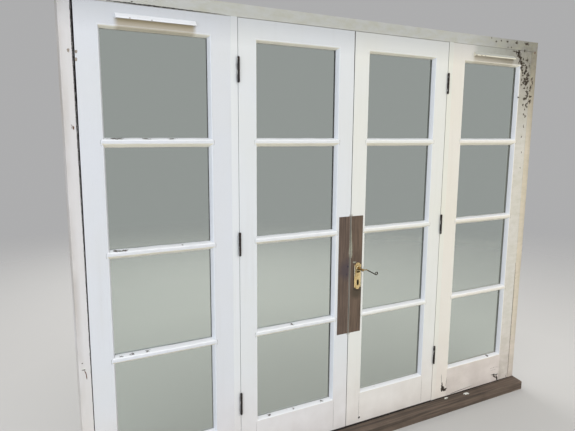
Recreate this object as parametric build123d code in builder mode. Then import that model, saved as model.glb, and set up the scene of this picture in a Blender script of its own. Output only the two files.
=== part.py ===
"""A pair of glazed timber french doors between two fixed sidelights, in their frame.

Millimetres. X runs along the frame and is 0 at its middle, Y runs into the wall and is 0 at the
frame's outside face, Z is 0 at the underside of the sill. The leaves open outwards, towards -Y.
"""
from build123d import *
from math import asin, atan2, cos, degrees, hypot, sin
import os

os.makedirs("parts", exist_ok=True)

# Driving sizes of the leaves and the sidelights
leaf_width = 587
leaf_height = 1981
leaf_thickness = 44
leaf_stile_face = 78
sash_width = 606
sash_stile_face = 82
top_rail_face = 77
bottom_rail_face = 162
panes_high = 4

# Driving sizes of the frame
jamb_face = 45
mullion_face = 30
head_face = 52
stop_width = 13
frame_depth = 94

# Gaps round the leaves and sashes
hinge_gap = 2
meeting_gap = 3
head_gap = 2
foot_gap = 3
stop_gap = 1
sash_gap = 1
shrinkage_gap = 5

# Glazing
glass_thickness = 4
glass_setback = 24
glass_edge_gap = 3
bead_width = 13
bead_nose = 2.5
bead_setback = 1
bead_foot = 2.5
mitre_gap = 0.3
bar_fin = 11
bar_nose_setback = 1
bar_nose_bevel = 2.5

# Joints in the timber
rail_tenon_length = 45
rail_tenon_thickness = 14
tenon_shoulder = 15
bar_tenon = 20
bar_tenon_thickness = 8
post_tenon = 16
post_tenon_length = 30
arris = 1.5
ovolo_radius = 7

# Sill
sill_nose_out = 72
sill_nose_height = 49
sill_seat = 57
sill_nose_radius = 5
drip_width = 8
drip_depth = 6
drip_from_nose = 10

# Frame fixing holes, in the part of each jamb behind the sashes
fixing_radius = 5
fixing_count = 4
fixing_from_end = 183
fixing_setback = 70

# Butt hinges
hinge_height = 102
hinge_flap_depth = 35
hinge_flap_thickness = 2.5
hinge_flap_play = 0.4
knuckle_radius = 5.5
knuckle_out = 6
knuckle_count = 5
knuckle_sides = 8
knuckle_play = 0.3
pin_radius = 3
pin_play = 0.05
pin_button_radius = 4.6
pin_button_height = 2.5
top_hinge_down = 208
bottom_hinge_up = 276
middle_hinge_rise = 3.5

# Bare inlays in the meeting stiles, round the lock
patch_below_spindle = 333
patch_height = 600
patch_thickness = 9
patch_proud = 0.6
left_patch_width = 63
left_patch_inset = 4
right_patch_width = 68
right_patch_inset = 3

# Lock
backset = 47
spindle_height = 905
keyhole_below_spindle = 67
plate_below_spindle = 108
plate_height = 137
plate_width = 40
plate_thickness = 2.5
plate_shoulder = 9
plate_corner_radius = 8
spindle_side = 8
spindle_bore = 7
follower_radius = 10
case_depth = 63
case_height = 150
case_thickness = 14
case_wall = 1.5
case_below_spindle = 41
case_play = 0.5
forend_width = 22
forend_height = 196
forend_thickness = 3
bolt_play = 0.4
latch_height = 18
latch_thickness = 11
latch_throw = 10
latch_nose = 2
dead_bolt_height = 22
dead_bolt_thickness = 9
dead_bolt_below_spindle = 50
dead_bolt_throw = 15
dead_bolt_talon = 8
strike_height = 150
strike_thickness = 2
strike_pocket_depth = 18
strike_pocket_play = 1.5
keyhole_radius = 4
keyhole_slot = 3.5
keyhole_length = 21
keyhole_play = 1

# Lever handles
hub_radius = 9.5
hub_length = 44
hub_neck_radius = 6.5
hub_cap = 1.5
hub_play = 0.4
socket_end = 14
rose_radius = 14
rose_height = 5
rose_taper = 20
lever_bar = 5.5
lever_level = 18
lever_bend = 14
lever_drop = 32.5
lever_reach = 84.5
scroll_radius = 5.5
scroll_turn = 255

# Surface bolts on the room side of the left leaf
bolt_plate_width = 32
bolt_plate_height = 150
bolt_plate_thickness = 3
bolt_rod_radius = 4.5
bolt_rod_length = 165
bolt_saddle_height = 22
bolt_saddle_wall = 2.5
bolt_saddle_bevel = 3.5
bolt_running_gap = 0.3
bolt_end_gap = 2
bolt_rod_tip = 4
bolt_throw = 18
bolt_inset = 34
bolt_knob_radius = 5.5
bolt_knob_length = 13
bolt_knob_sides = 8
bolt_knob_bevel = 1.8
bolt_hole_play = 0.8
bolt_hole_depth = 24
keep_width = 30
keep_length = 36
keep_thickness = 1.5

# Trickle ventilators in the top rails of the sidelights
vent_hood_length = 308
vent_hood_height = 20
vent_hood_out = 18
vent_hood_lip = 6
vent_hood_wall = 2
vent_below_sash_top = 55
vent_slot_height = 8
vent_slot_length = 120
vent_slot_bridge = 20
vent_cover_length = 320
vent_cover_height = 26
vent_cover_out = 9
vent_cover_wall = 2
vent_shutter_thickness = 2
vent_shutter_play = 0.3
vent_shutter_travel = 24
vent_grid_bridge = 4
vent_grid_count = 5
vent_cover_lip = 4
vent_tab_width = 22
vent_tab_height = 6
vent_tab_out = 6

# Weathering in the timber itself
foot_hole_radius = 4
foot_hole_depth = 14
foot_hole_height = 26
foot_hole_inset = 6

# Worked-out heights
leaf_foot = sill_seat + foot_gap
leaf_top = leaf_foot + leaf_height
soffit = leaf_top + head_gap
frame_height = soffit + head_face
stop_soffit = soffit - stop_width
stop_sill = leaf_foot + stop_width
sash_foot = sill_seat
sash_top = soffit - sash_gap

# Worked-out heights of the fixings and the hinges
fixing_spacing = (soffit - sill_seat - 2 * fixing_from_end) / (fixing_count - 1)
fixing_middle = (soffit + sill_seat) / 2
top_hinge_centre = leaf_top - top_hinge_down
bottom_hinge_centre = leaf_foot + bottom_hinge_up
middle_hinge_centre = (top_hinge_centre + bottom_hinge_centre) / 2 + middle_hinge_rise

# Worked-out depths
stop_line = leaf_thickness + stop_gap
lip_setback = glass_setback + glass_thickness
sash_front = stop_line - leaf_thickness
tenon_front = lip_setback - rail_tenon_thickness

# Worked-out lines along the frame
door_opening = 2 * leaf_width + meeting_gap + 2 * hinge_gap
sidelight_opening = sash_width + sash_gap
frame_width = 2 * (jamb_face + sidelight_opening + mullion_face) + door_opening
frame_edge = frame_width / 2
hinge_line = door_opening / 2
mullion_outer = hinge_line + mullion_face
sash_outer = mullion_outer + sash_width
jamb_inner = frame_edge - jamb_face
meeting_edge = meeting_gap / 2
leaf_outer = meeting_edge + leaf_width

# Panes: the bars stand at one height in the leaves and the sidelights
bar_face = bar_fin + 2 * bead_width
rebated_height = leaf_height - top_rail_face - bottom_rail_face
pane_rebate = (rebated_height - (panes_high - 1) * bar_fin) / panes_high
first_pane = leaf_foot + bottom_rail_face
last_pane_top = leaf_top - top_rail_face
pane_pitch = pane_rebate + bar_fin
pane_feet = [first_pane + i * pane_pitch for i in range(panes_high)]
bar_feet = [foot - bar_fin for foot in pane_feet[1:]]

hinge_centres = [bottom_hinge_centre, middle_hinge_centre, top_hinge_centre]

# Heights of the lock's pieces, all tied to the spindle
keyhole_height = spindle_height - keyhole_below_spindle
plate_bottom = spindle_height - plate_below_spindle
case_centre = spindle_height - case_below_spindle
dead_bolt_centre = spindle_height - dead_bolt_below_spindle
patch_bottom = spindle_height - patch_below_spindle


def box_between(low, high):
    """A box given by its lowest and its highest corner."""
    size = [b - a for a, b in zip(low, high)]
    corner = (Align.MIN, Align.MIN, Align.MIN)
    return Pos(*low) * Box(*size, align=corner, mode=Mode.PRIVATE)


def mirrored(part):
    """The same piece on the other side of the middle line."""
    return mirror(part, about=Plane.YZ, mode=Mode.PRIVATE)


def save(builder, name):
    """Label a finished piece and write it."""
    builder.part.label = name
    export_step(builder.part, f"parts/{name}.step")


def save_mirror_image(builder, name):
    """Write the left-hand twin of a finished right-hand piece."""
    with BuildPart() as twin:
        add(mirrored(builder.part))
    save(twin, name)


# Where the rails are tenoned into the stiles

def rail_tenons(outer, inner, foot, top, front):
    """The spans of a panel's rail and bar tenons, as low and high corners.

    outer and inner are the X of the panel's two sides, measured from the middle line, with the
    stiles' faces already taken off.
    """
    low_x = min(outer, inner) - rail_tenon_length
    high_x = max(outer, inner) + rail_tenon_length
    back = front + tenon_front + rail_tenon_thickness
    spans = [
        ((low_x, front + tenon_front, foot + tenon_shoulder), (high_x, back, first_pane)),
        ((low_x, front + tenon_front, last_pane_top), (high_x, back, top - tenon_shoulder)),
    ]
    return spans


def bar_tenons(outer, inner, front):
    """The spans of the glazing bars' tenons, in the lips behind the glass."""
    low_x = min(outer, inner) + bead_width - bar_tenon
    high_x = max(outer, inner) - bead_width + bar_tenon
    middle = front + (lip_setback + leaf_thickness) / 2
    spans = []
    for bar_foot in bar_feet:
        centre = bar_foot + bar_fin / 2
        low = (low_x, middle - bar_tenon_thickness / 2, centre - bar_tenon / 2)
        high = (high_x, middle + bar_tenon_thickness / 2, centre + bar_tenon / 2)
        spans.append((low, high))
    return spans


def stile(edge, toward, face, foot, top, front, spans):
    """One stile, rebated for the glass, moulded on the room side and mortised.

    edge is the X of its outer edge and toward is +1 or -1, the way to the panel's middle.
    """
    shoulder = edge + toward * face
    lip = shoulder + toward * bead_width
    back = front + leaf_thickness
    lip_front = front + lip_setback
    with BuildPart() as blank:
        with BuildSketch(Plane.XY.offset(foot)) as section:
            with BuildLine():
                Polyline(
                    (edge, front), (shoulder, front), (shoulder, lip_front),
                    (lip, lip_front), (lip, back), (edge, back), close=True,
                )
            make_face()
            chamfer(section.vertices().sort_by_distance((edge, front))[0], arris)
            fillet(section.vertices().sort_by_distance((lip, back))[0], ovolo_radius)
        extrude(amount=top - foot)
        for low, high in spans:
            add(box_between(low, high), mode=Mode.SUBTRACT)
    return blank.part


def rail(outer, inner, z_edge, upward, face, front, span, stiles):
    """A top or bottom rail, scribed over the stiles, with a tenon at each end.

    z_edge is the Z of its outer edge and upward is +1 or -1, the way to the panel's middle.
    """
    shoulder = z_edge + upward * face
    lip = shoulder + upward * bead_width
    back = front + leaf_thickness
    lip_front = front + lip_setback
    with BuildPart() as blank:
        with BuildSketch(Plane.YZ.offset(min(outer, inner))) as section:
            with BuildLine():
                Polyline(
                    (front, z_edge), (front, shoulder), (lip_front, shoulder),
                    (lip_front, lip), (back, lip), (back, z_edge), close=True,
                )
            make_face()
            fillet(section.vertices().sort_by_distance((back, lip))[0], ovolo_radius)
        extrude(amount=abs(outer - inner))
        add(box_between(*span))
        for stile_part in stiles:
            add(stile_part, mode=Mode.SUBTRACT)
    return blank.part


def bars(outer, inner, front, spans, stiles):
    """The glazing bars: a fin between the panes on a moulded back, tenoned into the stiles."""
    low_x = min(outer, inner)
    back = front + leaf_thickness
    lip_front = front + lip_setback
    with BuildPart() as blank:
        for bar_foot, span in zip(bar_feet, spans):
            centre = bar_foot + bar_fin / 2
            half = bar_face / 2
            nose = front + bar_nose_setback
            with BuildSketch(Plane.YZ.offset(low_x)) as section:
                with BuildLine():
                    Polyline(
                        (nose, centre - bar_fin / 2), (nose, centre + bar_fin / 2),
                        (lip_front, centre + bar_fin / 2), (lip_front, centre + half),
                        (back, centre + half), (back, centre - half),
                        (lip_front, centre - half), (lip_front, centre - bar_fin / 2), close=True,
                    )
                make_face()
                chamfer(section.vertices().group_by(Axis.X)[0], bar_nose_bevel)
                fillet(section.vertices().group_by(Axis.X)[-1], ovolo_radius)
            extrude(amount=abs(outer - inner))
            add(box_between(*span))
        for stile_part in stiles:
            add(stile_part, mode=Mode.SUBTRACT)
    return blank.part


def glazing_bead(length, width_out, rebate_edge):
    """One bead along X with mitred ends, its back on the glass at Y = glass_setback.

    rebate_edge is the Z of the rebate that it is bedded in, and width_out is +1 or -1, the way
    that it stands into the pane.
    """
    with BuildPart() as bead:
        with BuildSketch(Plane.YZ):
            with BuildLine():
                Polyline(
                    (bead_setback, rebate_edge),
                    (bead_setback, rebate_edge + width_out * bead_nose),
                    (glass_setback - bead_foot, rebate_edge + width_out * bead_width),
                    (glass_setback, rebate_edge + width_out * bead_width),
                    (glass_setback, rebate_edge), close=True,
                )
            make_face()
        extrude(amount=length)
        with BuildSketch(Plane.XZ):
            with BuildLine():
                Polyline(
                    (mitre_gap, rebate_edge),
                    (length - mitre_gap, rebate_edge),
                    (length - mitre_gap - bead_width, rebate_edge + width_out * bead_width),
                    (mitre_gap + bead_width, rebate_edge + width_out * bead_width), close=True,
                )
            make_face()
        extrude(amount=-glass_setback, mode=Mode.INTERSECT)
    return bead.part


def pane_beads(width, height):
    """The four beads round one pane, with the rebate's lower left corner at the origin."""
    with BuildPart() as ring:
        add(glazing_bead(width, 1, 0))
        add(glazing_bead(width, -1, height))
        upright = glazing_bead(height, -1, 0)
        add(Rot(0, -90, 0) * upright)
        add(Pos(width, 0, 0) * Rot(0, -90, 0) * glazing_bead(height, 1, 0))
    return ring.part


def panel_beads(outer, inner, front):
    """The beads of all panes in a panel."""
    low_x = min(outer, inner)
    ring = pane_beads(abs(outer - inner), pane_rebate)
    with BuildPart() as beads:
        with Locations([(low_x, front, foot) for foot in pane_feet]):
            add(ring)
    return beads.part


def panel_glass(outer, inner, front):
    """The panes of a panel, each loose by the edge gap in its rebate."""
    low_x = min(outer, inner)
    width = abs(outer - inner) - 2 * glass_edge_gap
    height = pane_rebate - 2 * glass_edge_gap
    corner = (Align.MIN, Align.MIN, Align.MIN)
    with BuildPart() as glass:
        with Locations([(low_x + glass_edge_gap, front + glass_setback, foot + glass_edge_gap)
                        for foot in pane_feet]):
            Box(width, glass_thickness, height, align=corner)
    return glass.part


# Right-hand sizes of a leaf and of a sidelight: the left-hand ones are their mirror image

leaf_tenons = rail_tenons(leaf_outer - leaf_stile_face, meeting_edge + leaf_stile_face,
                          leaf_foot, leaf_top, 0)
leaf_bar_tenons = bar_tenons(leaf_outer - leaf_stile_face, meeting_edge + leaf_stile_face, 0)
sash_tenons = rail_tenons(sash_outer - sash_stile_face, mullion_outer + sash_stile_face,
                          sash_foot, sash_top, sash_front)
sash_bar_tenons = bar_tenons(sash_outer - sash_stile_face, mullion_outer + sash_stile_face,
                             sash_front)

leaf_rebate_outer = leaf_outer - leaf_stile_face
leaf_rebate_inner = meeting_edge + leaf_stile_face
sash_rebate_outer = sash_outer - sash_stile_face
sash_rebate_inner = mullion_outer + sash_stile_face

hinge_stile_blank = stile(leaf_outer, -1, leaf_stile_face, leaf_foot, leaf_top, 0,
                          leaf_tenons + leaf_bar_tenons)
meeting_stile_blank = stile(meeting_edge, 1, leaf_stile_face, leaf_foot, leaf_top, 0,
                            leaf_tenons + leaf_bar_tenons)
outer_stile_blank = stile(sash_outer, -1, sash_stile_face, sash_foot, sash_top, sash_front,
                          sash_tenons + sash_bar_tenons)
inner_stile_blank = stile(mullion_outer, 1, sash_stile_face, sash_foot, sash_top, sash_front,
                          sash_tenons + sash_bar_tenons)

leaf_stiles = [hinge_stile_blank, meeting_stile_blank]
sash_stiles = [outer_stile_blank, inner_stile_blank]

leaf_bottom_rail = rail(leaf_rebate_outer, leaf_rebate_inner, leaf_foot, 1, bottom_rail_face,
                        0, leaf_tenons[0], leaf_stiles)
leaf_top_rail = rail(leaf_rebate_outer, leaf_rebate_inner, leaf_top, -1, top_rail_face,
                     0, leaf_tenons[1], leaf_stiles)
leaf_bars = bars(leaf_rebate_outer, leaf_rebate_inner, 0, leaf_bar_tenons, leaf_stiles)
leaf_glass = panel_glass(leaf_rebate_outer, leaf_rebate_inner, 0)
leaf_beads = panel_beads(leaf_rebate_outer, leaf_rebate_inner, 0)

sash_bottom_rail = rail(sash_rebate_outer, sash_rebate_inner, sash_foot, 1,
                        first_pane - sash_foot, sash_front, sash_tenons[0], sash_stiles)
sash_top_rail_blank = rail(sash_rebate_outer, sash_rebate_inner, sash_top, -1,
                           sash_top - last_pane_top, sash_front, sash_tenons[1], sash_stiles)
sash_bars = bars(sash_rebate_outer, sash_rebate_inner, sash_front, sash_bar_tenons, sash_stiles)
sash_glass = panel_glass(sash_rebate_outer, sash_rebate_inner, sash_front)
sash_beads = panel_beads(sash_rebate_outer, sash_rebate_inner, sash_front)


# Posts of the frame, with the tenons that stand in the sill and the head

def post_tenon_span(low_x, high_x):
    """The span of a post's tenons: one box from inside the sill to inside the head."""
    low = (low_x + tenon_shoulder, fixing_setback - post_tenon / 2, stop_sill - post_tenon_length)
    high = (high_x - tenon_shoulder, fixing_setback + post_tenon / 2,
            stop_soffit + post_tenon_length)
    return low, high


jamb_span = post_tenon_span(jamb_inner - stop_width, frame_edge)
mullion_span = post_tenon_span(hinge_line - stop_width, mullion_outer + stop_width)
post_tenons = [box_between(*jamb_span), box_between(*mullion_span)]

# Line of the surface bolts on the left leaf
bolt_x = meeting_edge + bolt_inset
bolt_axis_y = leaf_thickness + bolt_plate_thickness + bolt_rod_radius + bolt_running_gap


def bolt_round(z_plane, radius, depth):
    """A round bar on the bolts' line, running up from z_plane, or down with a negative depth."""
    with BuildPart() as bar:
        with BuildSketch(Plane.XY.offset(z_plane)):
            with Locations((-bolt_x, bolt_axis_y)):
                Circle(radius)
        extrude(amount=depth)
    return bar.part


def keep_blank(low_z):
    """The keep that one bolt shoots through, without its hole."""
    return box_between((-bolt_x - keep_width / 2, stop_line, low_z),
                       (-bolt_x + keep_width / 2, stop_line + keep_length, low_z + keep_thickness))


bolt_hole_radius = bolt_rod_radius + bolt_hole_play

with BuildPart() as sill:
    with BuildSketch(Plane.YZ.offset(-frame_edge)) as sill_section:
        with BuildLine():
            Polyline(
                (-sill_nose_out, 0), (-sill_nose_out, sill_nose_height), (0, sill_seat),
                (stop_line, sill_seat), (stop_line, stop_sill), (frame_depth, stop_sill),
                (frame_depth, 0), close=True,
            )
        make_face()
        nose = sill_section.vertices().sort_by_distance((-sill_nose_out, sill_nose_height))[0]
        fillet(nose, sill_nose_radius)
        # The drip groove under the nose
        with Locations((-sill_nose_out + drip_from_nose + drip_width / 2, 0)):
            Rectangle(drip_width, 2 * drip_depth, mode=Mode.SUBTRACT)
    extrude(amount=frame_width)
    for tenon in post_tenons:
        add(tenon, mode=Mode.SUBTRACT)
        add(mirrored(tenon), mode=Mode.SUBTRACT)
    # The hole for the bottom bolt, with its keep let in flush
    add(bolt_round(stop_sill, bolt_hole_radius, -bolt_hole_depth), mode=Mode.SUBTRACT)
    add(keep_blank(stop_sill - keep_thickness), mode=Mode.SUBTRACT)
save(sill, "sill")

with BuildPart() as head:
    with BuildSketch(Plane.YZ.offset(-frame_edge)):
        with BuildLine():
            Polyline(
                (0, soffit), (0, frame_height), (frame_depth, frame_height),
                (frame_depth, stop_soffit), (stop_line, stop_soffit), (stop_line, soffit),
                close=True,
            )
        make_face()
    extrude(amount=frame_width)
    for tenon in post_tenons:
        add(tenon, mode=Mode.SUBTRACT)
        add(mirrored(tenon), mode=Mode.SUBTRACT)
    # The hole for the top bolt, with its keep let in flush
    add(bolt_round(stop_soffit, bolt_hole_radius, bolt_hole_depth), mode=Mode.SUBTRACT)
    add(keep_blank(stop_soffit), mode=Mode.SUBTRACT)
save(head, "head")


with BuildPart() as right_jamb:
    with BuildSketch(Plane.XY.offset(sill_seat)):
        with BuildLine():
            Polyline(
                (frame_edge, 0), (jamb_inner, 0), (jamb_inner, stop_line),
                (jamb_inner - stop_width, stop_line), (jamb_inner - stop_width, frame_depth),
                (frame_edge, frame_depth), close=True,
            )
        make_face()
    extrude(amount=soffit - sill_seat)
    add(post_tenons[0])
    add(sill.part, mode=Mode.SUBTRACT)
    add(head.part, mode=Mode.SUBTRACT)
    # Holes for the fixings into the wall
    with BuildSketch(Plane.YZ.offset(frame_edge)):
        with Locations((fixing_setback, fixing_middle)):
            with GridLocations(1, fixing_spacing, 1, fixing_count):
                Circle(fixing_radius)
    extrude(amount=-(jamb_face + stop_width), mode=Mode.SUBTRACT)
save(right_jamb, "right_jamb")
save_mirror_image(right_jamb, "left_jamb")


# Butt hinges: three knuckles on the frame, two on the leaf, on one pin

flap_recess = hinge_flap_thickness - (hinge_gap - hinge_flap_play) / 2
pin_x = hinge_line - hinge_gap / 2
pin_y = -knuckle_out
knuckle_pitch = hinge_height / knuckle_count
frame_flap_x = hinge_line + flap_recess
leaf_flap_x = leaf_outer - flap_recess


def hinge_flap(flat_x, outward, knuckles, centre):
    """One flap with its knuckles, on the right-hand side of the doors.

    flat_x is the X of its bedded face, outward is +1 or -1, the way from that face to the gap.
    """
    foot = centre - hinge_height / 2
    face_x = flat_x + outward * hinge_flap_thickness
    low_x = min(flat_x, face_x)
    high_x = max(flat_x, face_x)
    with BuildPart() as flap:
        add(box_between((low_x, 0, foot), (high_x, hinge_flap_depth, foot + hinge_height)))
        for number in knuckles:
            low_z = foot + number * knuckle_pitch + knuckle_play / 2
            length = knuckle_pitch - knuckle_play
            add(box_between((low_x, pin_y, low_z), (high_x, 0, low_z + length)))
            with BuildSketch(Plane.XY.offset(low_z)):
                with Locations((pin_x, pin_y)):
                    RegularPolygon(knuckle_radius, knuckle_sides)
            extrude(amount=length)
        with BuildSketch(Plane.XY.offset(foot)):
            with Locations((pin_x, pin_y)):
                RegularPolygon(pin_radius + pin_play, knuckle_sides, major_radius=False)
        extrude(amount=hinge_height, mode=Mode.SUBTRACT)
    return flap.part


def flap_recess_span(flat_x, edge_x, centre):
    """The recess that one flap is let into."""
    low = (min(flat_x, edge_x), 0, centre - hinge_height / 2)
    high = (max(flat_x, edge_x), hinge_flap_depth, centre + hinge_height / 2)
    return box_between(low, high)


with BuildPart() as right_mullion:
    with BuildSketch(Plane.XY.offset(sill_seat)):
        with BuildLine():
            Polyline(
                (hinge_line, 0), (hinge_line, stop_line), (hinge_line - stop_width, stop_line),
                (hinge_line - stop_width, frame_depth),
                (mullion_outer + stop_width, frame_depth),
                (mullion_outer + stop_width, stop_line), (mullion_outer, stop_line),
                (mullion_outer, 0), close=True,
            )
        make_face()
    extrude(amount=soffit - sill_seat)
    add(post_tenons[1])
    add(sill.part, mode=Mode.SUBTRACT)
    add(head.part, mode=Mode.SUBTRACT)
    for centre in hinge_centres:
        add(flap_recess_span(frame_flap_x, hinge_line, centre), mode=Mode.SUBTRACT)
save(right_mullion, "right_mullion")
save_mirror_image(right_mullion, "left_mullion")

with BuildPart() as right_frame_flaps:
    for centre in hinge_centres:
        add(hinge_flap(frame_flap_x, -1, [0, 2, 4], centre))

with BuildPart() as frame_hinge_flaps:
    add(right_frame_flaps.part)
    add(mirrored(right_frame_flaps.part))
save(frame_hinge_flaps, "frame_hinge_flaps")

with BuildPart() as right_leaf_hinge_flaps:
    for centre in hinge_centres:
        add(hinge_flap(leaf_flap_x, 1, [1, 3], centre))
save(right_leaf_hinge_flaps, "right_leaf_hinge_flaps")
save_mirror_image(right_leaf_hinge_flaps, "left_leaf_hinge_flaps")

button_foot = hinge_height / 2 + knuckle_play
with BuildPart() as hinge_pin:
    Cylinder(pin_radius, 2 * button_foot)
    for foot_z in (button_foot, -button_foot - pin_button_height):
        with BuildSketch(Plane.XY.offset(foot_z)):
            RegularPolygon(pin_button_radius, knuckle_sides)
        extrude(amount=pin_button_height)

with BuildPart() as hinge_pins:
    with Locations([(side * pin_x, pin_y, centre)
                    for side in (-1, 1) for centre in hinge_centres]):
        add(hinge_pin.part)
save(hinge_pins, "hinge_pins")


# Sidelights

sidelight_middle = (mullion_outer + sash_outer) / 2
vent_hood_bottom = sash_top - vent_below_sash_top
vent_middle = vent_hood_bottom + vent_hood_height / 2
vent_slot_centre = (vent_slot_length + vent_slot_bridge) / 2

with BuildPart() as right_sidelight_outer_stile:
    add(outer_stile_blank)
save(right_sidelight_outer_stile, "right_sidelight_outer_stile")

with BuildPart() as left_sidelight_outer_stile:
    add(mirrored(outer_stile_blank))
    # The outer edge has drawn away from the jamb towards the top
    with BuildSketch(Plane.XZ):
        with BuildLine():
            Polyline(
                (-sash_outer, sash_foot), (-sash_outer, sash_top),
                (-sash_outer + shrinkage_gap, sash_top), close=True,
            )
        make_face()
    extrude(amount=-frame_depth, mode=Mode.SUBTRACT)
save(left_sidelight_outer_stile, "left_sidelight_outer_stile")

with BuildPart() as right_sidelight_inner_stile:
    add(inner_stile_blank)
save(right_sidelight_inner_stile, "right_sidelight_inner_stile")
save_mirror_image(right_sidelight_inner_stile, "left_sidelight_inner_stile")

with BuildPart() as right_sidelight_top_rail:
    add(sash_top_rail_blank)
    # Two slots for the air, behind the hood
    with BuildSketch(Plane.XZ.offset(-sash_front)):
        with Locations((sidelight_middle - vent_slot_centre, vent_middle),
                       (sidelight_middle + vent_slot_centre, vent_middle)):
            Rectangle(vent_slot_length, vent_slot_height)
    extrude(amount=-leaf_thickness, mode=Mode.SUBTRACT)
save(right_sidelight_top_rail, "right_sidelight_top_rail")
save_mirror_image(right_sidelight_top_rail, "left_sidelight_top_rail")

for name, piece in [("bottom_rail", sash_bottom_rail), ("bars", sash_bars),
                    ("glass", sash_glass), ("beads", sash_beads)]:
    with BuildPart() as sidelight_piece:
        add(piece)
    save(sidelight_piece, f"right_sidelight_{name}")
    save_mirror_image(sidelight_piece, f"left_sidelight_{name}")


# Trickle ventilators: a hood outside, and a slotted cover with a sliding shutter inside

hood_left = sidelight_middle - vent_hood_length / 2
hood_top = vent_hood_bottom + vent_hood_height
hood_front = sash_front - vent_hood_out

with BuildPart() as right_vent_hood:
    with BuildSketch(Plane.YZ.offset(hood_left)):
        with BuildLine():
            Polyline(
                (sash_front, vent_hood_bottom), (sash_front, hood_top),
                (hood_front, vent_hood_bottom + vent_hood_lip),
                (hood_front, vent_hood_bottom), close=True,
            )
        make_face()
    extrude(amount=vent_hood_length)
    # Hollow, and open towards the rail and downwards
    with BuildSketch(Plane.YZ.offset(hood_left + vent_hood_wall)):
        with BuildLine():
            Polyline(
                (sash_front, vent_hood_bottom), (sash_front, hood_top - vent_hood_wall),
                (hood_front + vent_hood_wall, vent_hood_bottom + vent_hood_lip - vent_hood_wall / 2),
                (hood_front + vent_hood_wall, vent_hood_bottom), close=True,
            )
        make_face()
    extrude(amount=vent_hood_length - 2 * vent_hood_wall, mode=Mode.SUBTRACT)
save(right_vent_hood, "right_vent_hood")
save_mirror_image(right_vent_hood, "left_vent_hood")

cover_left = sidelight_middle - vent_cover_length / 2
cover_right = sidelight_middle + vent_cover_length / 2
cover_foot = vent_middle - vent_cover_height / 2
cover_top = vent_middle + vent_cover_height / 2
channel_back = stop_line + vent_cover_wall
channel_front = channel_back + vent_shutter_thickness + 2 * vent_shutter_play
grid_slot = vent_shutter_travel - vent_grid_bridge
grid_pitch = 2 * vent_shutter_travel


def vent_grid(y_plane):
    """The row of slots that the cover and its shutter share, as a cutter two walls deep."""
    with BuildPart() as cutter:
        with BuildSketch(Plane.XZ.offset(-y_plane)):
            with Locations((sidelight_middle, vent_middle)):
                with GridLocations(grid_pitch, 1, vent_grid_count, 1):
                    Rectangle(grid_slot, vent_slot_height)
        extrude(amount=-vent_cover_wall)
    return cutter.part


with BuildPart() as right_vent_cover:
    add(box_between((cover_left, stop_line, cover_foot),
                    (cover_right, stop_line + vent_cover_out, cover_top)))
    # The channel that the shutter runs in
    add(box_between((cover_left + vent_cover_wall, channel_back, cover_foot + vent_cover_wall),
                    (cover_right - vent_cover_wall, channel_front, cover_top - vent_cover_wall)),
        mode=Mode.SUBTRACT)
    # The opening between the two lips that hold it
    add(box_between((cover_left + vent_cover_wall, channel_back, cover_foot + vent_cover_lip),
                    (cover_right - vent_cover_wall, stop_line + vent_cover_out,
                     cover_top - vent_cover_lip)),
        mode=Mode.SUBTRACT)
    add(vent_grid(stop_line), mode=Mode.SUBTRACT)
save(right_vent_cover, "right_vent_cover")
save_mirror_image(right_vent_cover, "left_vent_cover")

# The shutter stands open, with its slots over those of the cover
shutter_back = channel_back + vent_shutter_play
shutter_front = shutter_back + vent_shutter_thickness
shutter_left = cover_left + vent_cover_wall + vent_shutter_play
shutter_right = cover_right - vent_cover_wall - vent_shutter_play - vent_shutter_travel
shutter_foot = cover_foot + vent_cover_wall + vent_shutter_play
shutter_top = cover_top - vent_cover_wall - vent_shutter_play

with BuildPart() as right_vent_shutter:
    add(box_between((shutter_left, shutter_back, shutter_foot),
                    (shutter_right, shutter_front, shutter_top)))
    add(vent_grid(shutter_back), mode=Mode.SUBTRACT)
    # Its thumb tab
    with BuildSketch(Plane.XZ.offset(-shutter_front)):
        with Locations((sidelight_middle - grid_pitch / 2, vent_middle)):
            Rectangle(vent_tab_width, vent_tab_height)
    extrude(amount=-vent_tab_out)
save(right_vent_shutter, "right_vent_shutter")
save_mirror_image(right_vent_shutter, "left_vent_shutter")


# Leaves

for name, piece in [("top_rail", leaf_top_rail), ("bars", leaf_bars),
                    ("glass", leaf_glass), ("beads", leaf_beads)]:
    with BuildPart() as leaf_piece:
        add(piece)
    save(leaf_piece, f"right_leaf_{name}")
    save_mirror_image(leaf_piece, f"left_leaf_{name}")

with BuildPart() as right_leaf_hinge_stile:
    add(hinge_stile_blank)
    for centre in hinge_centres:
        add(flap_recess_span(leaf_flap_x, leaf_outer, centre), mode=Mode.SUBTRACT)
save(right_leaf_hinge_stile, "right_leaf_hinge_stile")
save_mirror_image(right_leaf_hinge_stile, "left_leaf_hinge_stile")

with BuildPart() as left_leaf_bottom_rail:
    add(mirrored(leaf_bottom_rail))
save(left_leaf_bottom_rail, "left_leaf_bottom_rail")

with BuildPart() as right_leaf_bottom_rail:
    add(leaf_bottom_rail)
    # A bored hole beside the foot of the meeting stile
    with BuildSketch(Plane.XZ):
        with Locations((leaf_rebate_inner + foot_hole_inset, leaf_foot + foot_hole_height)):
            Circle(foot_hole_radius)
    extrude(amount=-foot_hole_depth, mode=Mode.SUBTRACT)
save(right_leaf_bottom_rail, "right_leaf_bottom_rail")


# Lines of the lock

spindle_x = meeting_edge + backset
edge_middle = leaf_thickness / 2
patch_top = patch_bottom + patch_height


def inlay_span(inset, width, play_out):
    """The span of a right-hand inlay in the outside face of a meeting stile."""
    low = (meeting_edge + inset, -play_out, patch_bottom)
    high = (meeting_edge + inset + width, patch_thickness, patch_top)
    return low, high


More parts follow.
